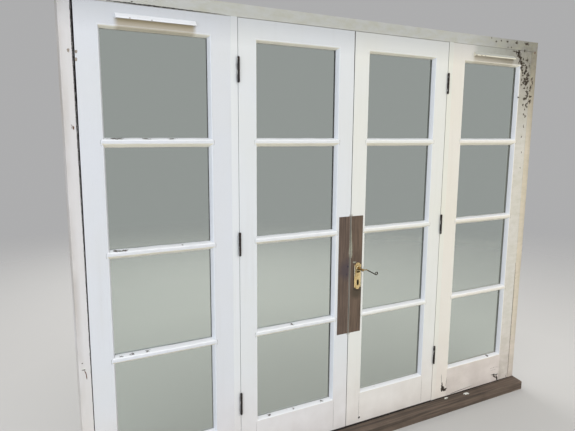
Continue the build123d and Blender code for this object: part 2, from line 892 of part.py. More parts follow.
def keyhole(y_low, depth):
    """A keyhole cutter running into +Y: a round over a slot."""
    with BuildPart() as cutter:
        with BuildSketch(Plane.XZ.offset(-y_low)):
            with Locations((spindle_x, keyhole_height)):
                Circle(keyhole_radius)
                Rectangle(keyhole_slot, keyhole_length, align=(Align.CENTER, Align.MAX))
        extrude(amount=-depth)
    return cutter.part


def key_slot(y_low):
    """The plain slot that the timber is cut away to, behind the keyholes of the plates."""
    low = (spindle_x - keyhole_radius - keyhole_play, y_low,
           keyhole_height - keyhole_length - keyhole_play)
    high = (spindle_x + keyhole_radius + keyhole_play, leaf_thickness,
            keyhole_height + keyhole_radius + keyhole_play)
    return box_between(low, high)


def spindle_hole(y_low, depth, radius):
    """A round cutter on the spindle's axis, running into +Y."""
    with BuildPart() as cutter:
        with BuildSketch(Plane.XZ.offset(-y_low)):
            with Locations((spindle_x, spindle_height)):
                Circle(radius)
        extrude(amount=-depth)
    return cutter.part


case_left = meeting_edge + forend_thickness
case_right = case_left + case_depth
case_front = edge_middle - case_thickness / 2
case_back = edge_middle + case_thickness / 2
case_foot = case_centre - case_height / 2
case_top = case_centre + case_height / 2


def edge_plate_blank(centre, height, thickness):
    """A plate let into the leaf's meeting edge, without its holes."""
    return box_between((meeting_edge, edge_middle - forend_width / 2, centre - height / 2),
                       (meeting_edge + thickness, edge_middle + forend_width / 2,
                        centre + height / 2))


forend_blank = edge_plate_blank(case_centre, forend_height, forend_thickness)

with BuildPart() as right_leaf_meeting_stile:
    add(meeting_stile_blank)
    add(box_between(*inlay_span(right_patch_inset, right_patch_width, 0)), mode=Mode.SUBTRACT)
    # The mortise for the lock, and the rebate for its forend
    add(box_between((meeting_edge, case_front - case_play, case_foot - case_play),
                    (case_right + case_play, case_back + case_play, case_top + case_play)),
        mode=Mode.SUBTRACT)
    add(forend_blank, mode=Mode.SUBTRACT)
    add(spindle_hole(0, leaf_thickness, spindle_bore), mode=Mode.SUBTRACT)
    add(key_slot(0), mode=Mode.SUBTRACT)
save(right_leaf_meeting_stile, "right_leaf_meeting_stile")

with BuildPart() as right_leaf_inlay:
    add(box_between(*inlay_span(right_patch_inset, right_patch_width, patch_proud)))
    add(spindle_hole(-patch_proud, leaf_thickness, spindle_bore), mode=Mode.SUBTRACT)
    add(key_slot(-patch_proud), mode=Mode.SUBTRACT)
save(right_leaf_inlay, "right_leaf_inlay")

# The strike plate on the left leaf faces the lock's forend
strike_blank = edge_plate_blank((spindle_height + dead_bolt_centre) / 2, strike_height,
                                strike_thickness)
latch_span = ((meeting_edge + bolt_play, edge_middle - latch_thickness / 2,
               spindle_height - latch_height / 2),
              (spindle_x - follower_radius - bolt_play, edge_middle + latch_thickness / 2,
               spindle_height + latch_height / 2))
dead_bolt_span = ((meeting_edge + bolt_play, edge_middle - dead_bolt_thickness / 2,
                   dead_bolt_centre - dead_bolt_height / 2),
                  (case_right - case_wall - bolt_play, edge_middle + dead_bolt_thickness / 2,
                   dead_bolt_centre + dead_bolt_height / 2))


def grown(span, play, low_x, high_x):
    """A bolt's own section, larger all round by the play, between two X lines."""
    low = (low_x, span[0][1] - play, span[0][2] - play)
    high = (high_x, span[1][1] + play, span[1][2] + play)
    return box_between(low, high)


strike_cutters = [grown(span, strike_pocket_play, meeting_edge, meeting_edge + strike_pocket_depth)
                  for span in (latch_span, dead_bolt_span)]

with BuildPart() as strike_twin:
    add(strike_blank)
    for cutter in strike_cutters:
        add(cutter, mode=Mode.SUBTRACT)
save_mirror_image(strike_twin, "strike_plate")

with BuildPart() as left_meeting_stile_twin:
    add(meeting_stile_blank)
    add(box_between(*inlay_span(left_patch_inset, left_patch_width, 0)), mode=Mode.SUBTRACT)
    add(strike_blank, mode=Mode.SUBTRACT)
    for cutter in strike_cutters:
        add(cutter, mode=Mode.SUBTRACT)
save_mirror_image(left_meeting_stile_twin, "left_leaf_meeting_stile")

with BuildPart() as left_inlay_twin:
    add(box_between(*inlay_span(left_patch_inset, left_patch_width, patch_proud)))
save_mirror_image(left_inlay_twin, "left_leaf_inlay")


# The lock in the right leaf

with BuildPart() as lock_case:
    add(box_between((case_left, case_front, case_foot), (case_right, case_back, case_top)))
    add(box_between((case_left, case_front + case_wall, case_foot + case_wall),
                    (case_right - case_wall, case_back - case_wall, case_top - case_wall)),
        mode=Mode.SUBTRACT)
    add(forend_blank)
    add(spindle_hole(0, leaf_thickness, spindle_bore), mode=Mode.SUBTRACT)
    add(keyhole(0, leaf_thickness), mode=Mode.SUBTRACT)
    for span in (latch_span, dead_bolt_span):
        add(grown(span, bolt_play, meeting_edge, case_left), mode=Mode.SUBTRACT)
save(lock_case, "lock_case")

with BuildPart() as lock_follower:
    with BuildSketch(Plane.XZ.offset(-case_front - case_wall - bolt_play)):
        with Locations((spindle_x, spindle_height)):
            Circle(follower_radius)
            with Locations((0, 0)):
                Rectangle(spindle_side, spindle_side, mode=Mode.SUBTRACT)
    extrude(amount=-(case_thickness - 2 * case_wall - 2 * bolt_play))
save(lock_follower, "lock_follower")

with BuildPart() as latch_bolt:
    add(box_between(*latch_span))
    # The sprung bevel, on the side that meets the strike as the leaf is closed
    chamfer(latch_bolt.edges().filter_by(Axis.Z).sort_by_distance(
        (meeting_edge, edge_middle + latch_thickness / 2, spindle_height))[0],
        latch_thickness - latch_nose)
save(latch_bolt, "latch_bolt")

with BuildPart() as dead_bolt:
    add(box_between(*dead_bolt_span))
    # The talon on its lower edge, which the key's bit pushes
    add(box_between((spindle_x - dead_bolt_throw / 2, 0, dead_bolt_span[0][2]),
                    (spindle_x + dead_bolt_throw / 2, leaf_thickness,
                     dead_bolt_span[0][2] + dead_bolt_talon)), mode=Mode.SUBTRACT)
save(dead_bolt, "dead_bolt")


# Backplates, levers and their spindle

plate_centre = plate_bottom + plate_height / 2


def backplate(seat_y, out):
    """A shaped backplate with a rose round the spindle, standing out along out from seat_y."""
    face_y = seat_y + out * plate_thickness
    with BuildPart() as plate:
        with BuildSketch(Plane.XZ.offset(-seat_y)) as outline:
            with Locations((spindle_x, plate_centre)):
                Rectangle(plate_width, plate_height - 2 * plate_shoulder)
                Rectangle(plate_width - 2 * plate_shoulder, plate_height)
            tabs = outline.vertices().group_by(Axis.Y)
            fillet(tabs[0] + tabs[-1], plate_corner_radius)
        extrude(amount=-out * plate_thickness)
        with BuildSketch(Plane.XZ.offset(-face_y)):
            with Locations((spindle_x, spindle_height)):
                Circle(rose_radius)
        extrude(amount=-out * rose_height, taper=rose_taper)
        low_y = min(seat_y, face_y + out * rose_height)
        add(spindle_hole(low_y, plate_thickness + rose_height, hub_radius + hub_play),
            mode=Mode.SUBTRACT)
        add(keyhole(low_y, plate_thickness + rose_height), mode=Mode.SUBTRACT)
    return plate.part


outside_seat = -patch_proud
inside_seat = leaf_thickness

with BuildPart() as outside_backplate:
    add(backplate(outside_seat, -1))
save(outside_backplate, "outside_backplate")

with BuildPart() as inside_backplate:
    add(backplate(inside_seat, 1))
save(inside_backplate, "inside_backplate")


def lever(seat_y, out):
    """A scroll lever: a hub on the spindle, and a bar that dips and curls up at its end."""
    hub_y = seat_y + out * hub_play
    arm_y = seat_y + out * hub_length
    cap_y = arm_y + out * (lever_bar / 2 + hub_cap)
    half_hub = spindle_x + hub_neck_radius
    # Two equal bends with a straight slope between them carry the bar down to the scroll
    fall = lever_drop - 2 * lever_bend
    run = lever_reach - lever_level
    slope = atan2(fall, run) + asin(2 * lever_bend / hypot(fall, run))
    slope_length = (lever_drop - 2 * lever_bend * (1 - cos(slope))) / sin(slope)
    with BuildPart() as handle:
        with BuildSketch(Plane.XY.offset(spindle_height)):
            with BuildLine():
                Polyline(
                    (spindle_x, hub_y), (spindle_x + hub_radius, hub_y),
                    (half_hub, cap_y - out * hub_cap), (half_hub - hub_cap, cap_y),
                    (spindle_x, cap_y), close=True,
                )
            make_face()
        revolve(axis=Axis((spindle_x, 0, spindle_height), (0, 1, 0)))
        with BuildLine(Plane.XZ.offset(-arm_y)) as route:
            level = Line((spindle_x, spindle_height), (spindle_x + lever_level, spindle_height))
            dip = JernArc(level @ 1, level % 1, lever_bend, -degrees(slope))
            down = Line(dip @ 1, dip @ 1 + slope_length * (dip % 1))
            rise = JernArc(down @ 1, down % 1, lever_bend, degrees(slope))
            JernArc(rise @ 1, rise % 1, scroll_radius, scroll_turn)
        with BuildSketch(Plane(origin=route.line @ 0, z_dir=route.line % 0)):
            Rectangle(lever_bar, lever_bar)
        sweep()
        # The socket for the spindle
        socket_y = seat_y + out * (hub_length - socket_end)
        low = (spindle_x - spindle_side / 2, min(seat_y, socket_y),
               spindle_height - spindle_side / 2)
        high = (spindle_x + spindle_side / 2, max(seat_y, socket_y),
                spindle_height + spindle_side / 2)
        add(box_between(low, high), mode=Mode.SUBTRACT)
    return handle.part


with BuildPart() as outside_lever:
    add(lever(outside_seat, -1))
save(outside_lever, "outside_lever")

with BuildPart() as inside_lever:
    add(lever(inside_seat, 1))
save(inside_lever, "inside_lever")

with BuildPart() as spindle:
    spindle_out = hub_length - socket_end
    add(box_between((spindle_x - spindle_side / 2, outside_seat - spindle_out,
                     spindle_height - spindle_side / 2),
                    (spindle_x + spindle_side / 2, inside_seat + spindle_out,
                     spindle_height + spindle_side / 2)))
save(spindle, "spindle")


# Surface bolts on the room side of the left leaf

plate_back = leaf_thickness + bolt_plate_thickness
rod_end_gap = bolt_end_gap + bolt_rod_tip


def bolt_guide(end_z, inward):
    """A bolt's plate with its two saddles. end_z is its end and inward +1 or -1 from there."""
    far_z = end_z + inward * bolt_plate_height
    with BuildPart() as guide:
        add(box_between((-bolt_x - bolt_plate_width / 2, leaf_thickness, min(end_z, far_z)),
                        (-bolt_x + bolt_plate_width / 2, plate_back, max(end_z, far_z))))
        saddle_feet = [min(end_z, far_z), max(end_z, far_z) - bolt_saddle_height]
        outer = bolt_rod_radius + bolt_running_gap + bolt_saddle_wall
        for saddle_foot in saddle_feet:
            with BuildSketch(Plane.XY.offset(saddle_foot)) as saddle:
                with Locations((-bolt_x, plate_back)):
                    Rectangle(2 * outer, bolt_axis_y + outer - plate_back,
                              align=(Align.CENTER, Align.MIN))
                chamfer(saddle.vertices().group_by(Axis.Y)[-1], bolt_saddle_bevel)
            extrude(amount=bolt_saddle_height)
        add(bolt_round(min(end_z, far_z), bolt_rod_radius + bolt_running_gap, bolt_plate_height),
            mode=Mode.SUBTRACT)
    return guide.part


def bolt_rod(end_z, inward):
    """A bolt's rod with its knob, drawn back from end_z."""
    with BuildPart() as rod:
        knob_z = end_z + inward * (bolt_rod_length + bolt_throw) / 2
        with BuildSketch(Plane.XZ.offset(-bolt_axis_y)):
            with Locations((-bolt_x, knob_z)):
                RegularPolygon(bolt_knob_radius, bolt_knob_sides)
        extrude(amount=-bolt_knob_length)
        chamfer(rod.faces().sort_by(Axis.Y)[-1].edges(), bolt_knob_bevel)
        add(bolt_round(end_z, bolt_rod_radius, inward * bolt_rod_length))
    return rod.part


guide_ends = [(stop_soffit - rod_end_gap, -1), (stop_sill + rod_end_gap, 1)]
rod_ends = [(stop_soffit - bolt_end_gap, -1), (stop_sill + bolt_end_gap, 1)]

with BuildPart() as bolt_guides:
    for end_z, inward in guide_ends:
        add(bolt_guide(end_z, inward))
save(bolt_guides, "bolt_guides")

with BuildPart() as top_bolt_rod:
    add(bolt_rod(*rod_ends[0]))
save(top_bolt_rod, "top_bolt_rod")

with BuildPart() as bottom_bolt_rod:
    add(bolt_rod(*rod_ends[1]))
save(bottom_bolt_rod, "bottom_bolt_rod")

with BuildPart() as bolt_keeps:
    for low_z in (stop_soffit, stop_sill - keep_thickness):
        add(keep_blank(low_z))
        add(bolt_round(low_z, bolt_hole_radius, keep_thickness), mode=Mode.SUBTRACT)
save(bolt_keeps, "bolt_keeps")
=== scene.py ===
# %% [markdown]
# # Old painted french doors between two sidelights
# The timber, the glass and the ironmongery come packed from CAD, in metres: X runs along the
# frame, Y runs inwards and Z is up from the underside of the sill. Here the model gets its
# looks: brushed and chipped paint, bare inlays, brass, rust, dirty glass, a plain studio and the
# camera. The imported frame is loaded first, because every piece is placed against it.

import math
from functools import cached_property, reduce

import bmesh
import bpy
import numpy as np
from mathutils import Matrix, Vector


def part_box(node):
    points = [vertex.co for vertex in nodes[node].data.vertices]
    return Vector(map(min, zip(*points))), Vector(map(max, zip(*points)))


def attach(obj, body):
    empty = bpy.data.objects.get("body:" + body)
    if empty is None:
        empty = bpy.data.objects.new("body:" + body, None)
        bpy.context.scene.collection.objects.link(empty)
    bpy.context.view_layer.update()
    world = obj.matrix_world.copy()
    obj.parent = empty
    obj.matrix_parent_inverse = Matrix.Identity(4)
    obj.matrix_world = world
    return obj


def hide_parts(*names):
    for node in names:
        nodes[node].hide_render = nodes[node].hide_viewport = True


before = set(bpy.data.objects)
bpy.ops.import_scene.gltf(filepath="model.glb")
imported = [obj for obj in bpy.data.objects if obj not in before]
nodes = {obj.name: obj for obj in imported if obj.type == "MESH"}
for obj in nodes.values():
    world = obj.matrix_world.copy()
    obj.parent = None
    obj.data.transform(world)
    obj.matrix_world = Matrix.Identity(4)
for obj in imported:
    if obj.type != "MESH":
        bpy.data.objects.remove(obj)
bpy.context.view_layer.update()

# %% [markdown]
# ## Lines that the pieces share
# The new pieces follow the lines of the joinery. Most lines are read from the boxes of the CAD
# nodes, so they can't drift from the model; the sizes of a rebate or a bead are written once.

# %% Lines of the joinery
MM = 0.001
BEAD_WIDTH = 13 * MM
BAR_FIN = 11 * MM
GLASS_BACK = 24 * MM
GLASS_EDGE = 3 * MM
PANES_HIGH = 4
# The axis of the right-hand hinge pins, in mm as all the hardware
PIN_X, PIN_Y = 589.5, -6
BODY_OF = {"left_sidelight": "frame", "left_leaf": "left_leaf",
           "right_leaf": "right_leaf", "right_sidelight": "frame"}
PANELS = tuple(BODY_OF)


def pane_lines(panel):
    """The rebate's two X lines, the front of the timber, and the foot and height of a pane.

    The glass node is smaller than its rebates by the edge gap on every side.
    """
    low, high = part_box(panel + "_glass")
    x_low, x_high = low.x - GLASS_EDGE, high.x + GLASS_EDGE
    z_low, z_high = low.z - GLASS_EDGE, high.z + GLASS_EDGE
    pane = (z_high - z_low - (PANES_HIGH - 1) * BAR_FIN) / PANES_HIGH
    return x_low, x_high, low.y - GLASS_BACK, z_low, pane


for panel in PANELS:
    print(panel, [round(v, 4) for v in pane_lines(panel)])

# %% [markdown]
# ## Meshes from arrays
# Every new piece is a grid of points: a surface with two parameters, or a profile carried along
# a path. One helper turns such grids into a mesh that rides on its body, and smooths its shading.

# %% Grids into meshes
def grid_faces(rows, columns, start=0, close_rows=False, close_columns=False):
    """Quads of a grid whose point (i, j) is number start + i * columns + j."""
    i = np.arange(rows if close_rows else rows - 1)
    j = np.arange(columns if close_columns else columns - 1)
    i, j = np.meshgrid(i, j, indexing="ij")
    ni, nj = (i + 1) % rows, (j + 1) % columns
    quads = np.stack([i * columns + j, ni * columns + j, ni * columns + nj, i * columns + nj], -1)
    return quads.reshape(-1, 4) + start


def shells(grids):
    """Grids that close round their columns and are capped at both ends."""
    return [(grid, False, True, True) for grid in grids]


def make_piece(name, grids, body, material,
               smooth_angle=math.radians(40), wear=None):
    """One object from several grids of points.

    Each grid is (points, close_rows, close_columns, caps): points is rows x columns x 3, and
    caps closes the first and the last row with a fan round the row's middle.
    """
    points, quads, triangles, start = [], [], [], 0
    for grid, close_rows, close_columns, caps in grids:
        rows, columns = grid.shape[:2]
        points.append(grid.reshape(-1, 3))
        quads.append(grid_faces(rows, columns, start, close_rows, close_columns))
        end = start + rows * columns
        if caps:
            first = start + np.arange(columns)
            last = first + (rows - 1) * columns
            for rim, row, turn in ((first, grid[0], -1), (last, grid[-1], 1)):
                points.append(row.mean(0)[None])
                pairs = np.stack([rim, np.roll(rim, -1), np.full(columns, end)], -1)
                triangles.append(pairs[:, ::turn])
                end += 1
        start = end
    faces = [list(map(int, face)) for block in quads + triangles for face in block]
    mesh = bpy.data.meshes.new(name)
    mesh.from_pydata(np.concatenate(points).tolist(), [], faces)
    # Every grid is a closed shell, so its faces can be turned outwards
    shell = bmesh.new()
    shell.from_mesh(mesh)
    bmesh.ops.recalc_face_normals(shell, faces=shell.faces)
    shell.to_mesh(mesh)
    shell.free()
    mesh.update()
    if wear is not None:
        layer = mesh.attributes.new("wear", "FLOAT", "POINT")
        values = [np.append(np.asarray(w, float).reshape(-1), [0.0, 0.0] if grid[3] else [])
                  for w, grid in zip(wear, grids)]
        layer.data.foreach_set("value", np.concatenate(values))
    piece = bpy.data.objects.new(name, mesh)
    bpy.context.scene.collection.objects.link(piece)
    mesh.materials.append(material)
    mesh.polygons.foreach_set("use_smooth", np.ones(len(mesh.polygons), bool))
    mesh.set_sharp_from_angle(angle=smooth_angle)
    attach(piece, body)
    print(name, len(mesh.vertices), "points", len(mesh.polygons), "faces")
    return piece


print("a 3 x 4 grid has", len(grid_faces(3, 4)), "quads")

# %% [markdown]
# ## Roughness and round edges
# Hand work is never quite even, and paint rounds every arris. A sum of sine waves with seeded
# directions gives an unevenness that is the same in every run, and cutting the corners of a
# profile twice gives its round edges.

# %% Roughness and rounding
def ripple(u, v, scale, seed):
    """A smooth repeatable roughness from -1 to 1: eight sine waves with seeded directions."""
    dice = np.random.default_rng(seed)
    turn = dice.uniform(0, 2 * np.pi, 8)
    phase = dice.uniform(0, 2 * np.pi, 8)
    pace = 2 * np.pi / scale * dice.uniform(0.6, 1.7, 8)
    waves = [np.sin(p * (np.cos(a) * u + np.sin(a) * v) + q)
             for p, a, q in zip(pace, turn, phase)]
    return sum(waves) / 4


def rounded(corners, cuts=2):
    """Round a profile by cutting corners: each edge keeps its points at 1/4 and 3/4."""
    line = np.asarray(corners, float)
    for _ in range(cuts):
        here, ahead = line[:-1], line[1:]
        cut = np.stack([0.75 * here + 0.25 * ahead, 0.25 * here + 0.75 * ahead], 1)
        line = np.concatenate([line[:1], cut.reshape(-1, line.shape[1]), line[-1:]])
    return line


print("a corner becomes", len(rounded([(0, 0), (1, 0), (1, 1)])), "points")

# %% [markdown]
# ## Shader nodes in short
# A material is a chain of nodes. One helper adds a node with its inputs, and one turns a colour
# as it is read off the photograph into the linear values that light is reckoned in.

# %% Node helpers
def set_inputs(tree, node, inputs):
    """Link sockets to a node's inputs, and write plain values on the inputs themselves."""
    for key, value in dict(inputs).items():
        if isinstance(value, bpy.types.NodeSocket):
            tree.links.new(value, node.inputs[key])
        else:
            node.inputs[key].default_value = value


def add_node(tree, kind, inputs=(), **settings):
    """A shader node of that kind, with its settings and inputs."""
    node = tree.nodes.new("ShaderNode" + kind)
    for name, value in settings.items():
        setattr(node, name, value)
    set_inputs(tree, node, inputs)
    return node


def colour(red, green, blue):
    """An sRGB colour from 0 to 255 as the linear RGBA that a shader takes."""
    values = np.array([red, green, blue]) / 255
    linear = np.where(values <= 0.04045, values / 12.92, ((values + 0.055) / 1.055) ** 2.4)
    return tuple(float(v) for v in linear) + (1.0,)


print("middle grey", [round(v, 3) for v in colour(128, 128, 128)])

# %% [markdown]
# ## A finish, layer by layer
# A real finish is a ground with layers over it: yellowing, dust, splashes. So a material here
# starts as one tint, and each layer is laid over it by an amount. All patterns read object
# coordinates, which are the frame's own metres, so grain and dirt stay on the timber when a leaf
# swings.

# %% A finish in the making
class Finish:
    """A material in the making, with its object coordinates and the tone laid on so far."""

    def __init__(self, name, tint=(255, 255, 255)):
        self.material = bpy.data.materials.new(name)
        self.material.use_nodes = True
        self.tree = self.material.node_tree
        self.shader = next(n for n in self.tree.nodes if n.type == "BSDF_PRINCIPLED")
        self.coords = self.add("TexCoord").outputs["Object"]
        self.tone = colour(*tint)

    def add(self, kind, inputs=(), **settings):
        """A node of this material."""
        return add_node(self.tree, kind, inputs, **settings)

    @cached_property
    def place(self):
        """The X, Y and Z of the point."""
        return tuple(self.add("SeparateXYZ", {"Vector": self.coords}).outputs)

    @cached_property
    def facing(self):
        """The X, Y and Z of the surface's normal."""
        normal = self.add("NewGeometry").outputs["Normal"]
        return tuple(self.add("SeparateXYZ", {"Vector": normal}).outputs)

    @cached_property
    def off_middle(self):
        """The distance to the middle of the doors, along X."""
        return self.maths("ABSOLUTE", self.place[0])

    def maths(self, operation, *values):
        """One operation on one or two values."""
        return self.add("Math", dict(enumerate(values)), operation=operation).outputs[0]

    def times(self, *values):
        """The product of several values."""
        return reduce(lambda product, value: self.maths("MULTIPLY", product, value), values)

    def away_from(self, point):
        """The distance to a point."""
        return self.add("VectorMath", {0: self.coords, 1: point},
                        operation="DISTANCE").outputs["Value"]

    def span(self, value, low, high, to_low=0.0, to_high=1.0):
        """Carry a value from one range to another, clamped."""
        return self.add("MapRange", {"Value": value, "From Min": low, "From Max": high,
                                     "To Min": to_low, "To Max": to_high}).outputs[0]

    def between(self, value, low, low_full, high_full, high):
        """1 between the two full values, fading to 0 at the outer two."""
        return self.times(self.span(value, low, low_full), self.span(value, high, high_full))

    def noise(self, scale, stretch=(1, 1, 1), detail=4.0, rough=0.55, warp=0.0):
        """Noise on coordinates that are stretched first; a low stretch gives long streaks."""
        place = self.add("Mapping", {"Vector": self.coords, "Scale": stretch}).outputs[0]
        return self.add("TexNoise", {"Vector": place, "Scale": scale, "Detail": detail,
                                     "Roughness": rough, "Distortion": warp}).outputs["Fac"]

    def lay(self, amount, tint):
        """Lay a tint over the tone so far, as thick as the amount says."""
        self.tone = self.add("Mix", {0: amount, 6: self.tone, 7: colour(*tint)},
                             data_type="RGBA").outputs[2]

    def bump(self, height, strength, distance):
        """The normal of a surface that a height roughens."""
        return self.add("Bump", {"Height": height, "Strength": strength,
                                 "Distance": distance}).outputs[0]

    def done(self, inputs):
        """The material, when the shader has its tone and its other inputs."""
        set_inputs(self.tree, self.shader, {"Base Color": self.tone, **inputs})
        return self.material


def along_grain(grain, squeeze):
    """The stretch that draws a noise out along the grain's axis, X or Z."""
    return {"X": (squeeze, 1, 1), "Z": (1, 1, squeeze)}[grain]


print("stretch along X and along Z", along_grain("X", 0.03), along_grain("Z", 0.03))

# %% [markdown]
# ## Where old paint gets dirty, and where shade is painted
# Dust and the hoods' painted shadow lie under the ventilator hoods, dirt washes down the outer
# edges, dirt and the eaves' painted shade darken one top corner, painted shade darkens the sides
# in the gaps, hands and oil grey the meeting stiles, and the bars' upper bevels get painted light
# and flakes. Each is a layer of its own with its place on the doors in metres, so each can be
# changed without touching the others.

# %% Layers of dirt and wear
# Along X under a hood and along Z beside the inlays, in metres: none, full, full and none
HOOD_REACH = (0.764, 0.782, 1.066, 1.084)
INLAY_REACH = (0.560, 0.575, 1.170, 1.185)


def hood_dust_and_shadow(paint):
    """Tan dust and the hood's painted shadow on the rails below, and a greyer band above the right
    hood.
    """
    x, y, z = paint.place
    front = paint.span(y, 0.030, 0.025)
    # Dust, and a painted shadow of the hood that is darkest right under it
    under = paint.times(paint.between(paint.off_middle, *HOOD_REACH),
                        paint.span(z, 1.935, 1.984, 0.3, 1.0), paint.span(z, 1.992, 1.988),
                        paint.span(z, 1.930, 1.940), front)
    paint.lay(paint.times(under, paint.span(x, -0.3, 0.3, 0.95, 0.55)), (172, 158, 128))
    # A greyer band on the rail above the right hood
    above = paint.times(paint.between(x, 0.764, 0.80, 1.07, 1.12),
                        paint.span(z, 2.003, 2.008, 0, 0.4), front,
                        paint.span(z, 2.0428, 2.0424))
    paint.lay(above, (146, 156, 146))


def edge_dirt_and_corner_shade(paint):
    """Dirt that rain brings down the outer edges, and dirt with painted eaves' shade in a top
    corner.
    """
    patchy = paint.span(paint.noise(9, (1, 1, 0.4), detail=5), 0.35, 0.65)
    paint.lay(paint.times(paint.span(paint.off_middle, 1.248, 1.272), patchy, 0.55),
              (158, 146, 128))
    # Mottled dirt, with a painted shade of the eaves, darkest at the top right corner
    mottle = paint.span(paint.noise(24, detail=6, rough=0.65), 0.3, 0.7, 0.65, 1.0)
    corner = paint.times(paint.span(paint.away_from((1.28, 0, 2.05)), 0.55, 0.10, 0, 0.88),
                         mottle, paint.span(paint.place[1], 0.060, 0.030))
    paint.lay(corner, (106, 101, 86))


def shaded_and_grubby_uprights(paint):
    """Painted shade in the gaps, paint greyed by hands, and raw wood with painted shade in the
    holes.
    """
    x, y, z = paint.place
    sideways = paint.span(paint.maths("ABSOLUTE", paint.facing[1]), 0.5, 0.2)
    # Painted shade on the sides in the gaps, stronger on the left, where less light reaches into
    # them
    side = paint.times(sideways, paint.span(y, 0.0008, 0.0022),
                       paint.span(paint.off_middle, 1.2715, 1.2705),
                       paint.span(x, 0.3, 0.6, 0.94, 0.55))
    paint.lay(side, (72, 66, 62))
    # Hands and a spray of oil have greyed the paint between the two inlays
    handled = paint.between(z, *INLAY_REACH)
    paint.lay(paint.times(paint.span(paint.off_middle, 0.012, 0.009, 0, 0.85), handled),
              (136, 128, 114))
    # Raw wood in the lock's holes, darkened as painted shade in them
    inside = paint.times(paint.between(y, 0.0015, 0.003, 0.041, 0.0425),
                         paint.span(paint.off_middle, 0.078, 0.076), handled)
    paint.lay(inside, (52, 42, 34))


def lit_and_flaked_bevels(paint):
    """Painted light on tops and left sides, and dark putty and wood through flakes and cracks."""
    # Painted highlight on what faces up, for light from above
    paint.lay(paint.span(paint.facing[2], 0.05, 0.5, 0, 0.85), (248, 250, 253))
    # Painted cool light on what faces left, for sky light from that side
    paint.lay(paint.span(paint.facing[0], -0.3, -0.7, 0, 0.8), (238, 242, 250))
    wear = paint.add("Attribute", attribute_name="wear").outputs["Fac"]
    flake = paint.span(paint.noise(190, (0.4, 1, 1), detail=6, rough=0.7), 0.3, 0.7)
    bare = paint.span(paint.maths("ADD", wear, flake), 0.985, 1.01)
    # Cracks are the thin lines where a stretched noise crosses its middle
    off = paint.maths("SUBTRACT", paint.noise(42, (0.22, 1, 1), detail=4), 0.5)
    crack = paint.times(paint.span(paint.maths("ABSOLUTE", off), 0.016, 0.006),
                        paint.span(wear, 0.26, 0.40))
    paint.lay(paint.maths("MAXIMUM", bare, crack), (84, 77, 70))


print("layers", [f.__name__ for f in (hood_dust_and_shadow, edge_dirt_and_corner_shade, shaded_and_grubby_uprights, lit_and_flaked_bevels)])

# %% [markdown]
# ## Painted timber
# Old gloss paint is never one white. It is brushed along the grain, so its surface has fine
# ridges that way, it gathers dust under ledges, and it collects splashed dirt near the ground.
# Warm light on undersides and shade under ledges and eaves are painted into it too. Each panel
# was painted by itself and has its own tint, measured on the photograph. One function lays these
# layers for any tint and grain.

# %% Paint
TINTS = {"left_sidelight": (218, 221, 227), "left_leaf": (223, 226, 229),
         "right_leaf": (228, 229, 225), "right_sidelight": (230, 226, 217),
         "right_sidelight_outer_stile": (213, 210, 202), "right_sidelight_bottom": (214, 208, 203),
         "left_jamb": (216, 214, 215), "left_mullion": (225, 228, 231),
         "right_mullion": (229, 229, 220), "right_jamb": (211, 201, 183), "head": (211, 211, 202)}
FILMS = {"head": 0.5, "right_jamb": 0.35, "right_sidelight_bottom": 0.1,
         "right_sidelight_outer_stile": 0.3}
GRIMES = {"right_sidelight_outer_stile": 0.6, "right_sidelight_bottom": 0.25, "right_jamb": 0.5}


def painted(name, tint, grain, grime=0.25, film=0.0, chipped=False):
    """Brushed gloss paint of one tint. grain is the axis that the brush followed.

    grime is how much dirt is splashed on low down, film how much algae has grown, and chipped
    is for beads and bars, which carry a wear attribute.
    """
    paint = Finish(name, tint)
    patches = paint.span(paint.noise(2.2, detail=3), 0.4, 0.7)
    paint.lay(paint.times(patches, 0.35), (tint[0] - 2, tint[1] - 5, tint[2] - 16))
    # Long faint streaks that rain has drawn down
    streaks = paint.span(paint.noise(30, (1, 1, 0.05), detail=3), 0.55, 0.8)
    paint.lay(paint.times(streaks, 0.10), (176, 170, 156))
    # Painted warm light from the ground on what faces down, lighter still on beads and bars
    paint.lay(paint.span(paint.facing[2], -0.15, -0.7, 0, 0.9 if chipped else 0.6),
              (255, 249, 230) if chipped else (238, 228, 198))
    # Painted shade of the eaves: the paint turns grey towards the top
    paint.lay(paint.times(paint.span(paint.place[2], 1.93, 2.06), 0.5), (150, 154, 160))
    if grain == "X":
        hood_dust_and_shadow(paint)
    if not chipped:
        edge_dirt_and_corner_shade(paint)
    if grain == "Z":
        shaded_and_grubby_uprights(paint)
    # Splashed dirt low down
    low = paint.span(paint.place[2], 0.50, 0.05)
    splash = paint.span(paint.noise(9, detail=5, rough=0.5), 0.3, 0.8)
    paint.lay(paint.times(low, 0.5), (240, 229, 225))
    paint.lay(paint.times(low, splash, grime * 2), (166, 156, 150))
    if film:
        mould = paint.span(paint.noise(14, (1, 1, 2.5), detail=6, rough=0.65), 0.42, 0.7)
        paint.lay(paint.times(mould, film), (168, 166, 140))
    # Specks of grit
    specks = paint.span(paint.noise(420, detail=1), 0.735, 0.76)
    paint.lay(paint.times(specks, 0.35), (120, 112, 100))
    if chipped:
        lit_and_flaked_bevels(paint)
    stretch = along_grain(grain, 0.03)
    ridges = paint.maths("ADD", paint.noise(420, stretch, detail=3),
                         paint.times(paint.noise(30, stretch, detail=2), 3.0))
    return paint.done({"Roughness": paint.span(patches, 0, 1, 0.36, 0.50),
                       "Normal": paint.bump(ridges, 0.35, 0.0004)})


print("tints", len(TINTS))

# %% [markdown]
# ## Paint on the timber
# Stiles, jambs and mullions stand, and the rest lies, so a piece's name tells how its grain runs
# and which panel it belongs to. The names of the nodes choose the paint, and no piece is missed.

# %% Paint on the timber
UPRIGHTS = ("stile", "jamb", "mullion")
TIMBER = UPRIGHTS + ("rail", "bars", "beads", "head")
paints = {}


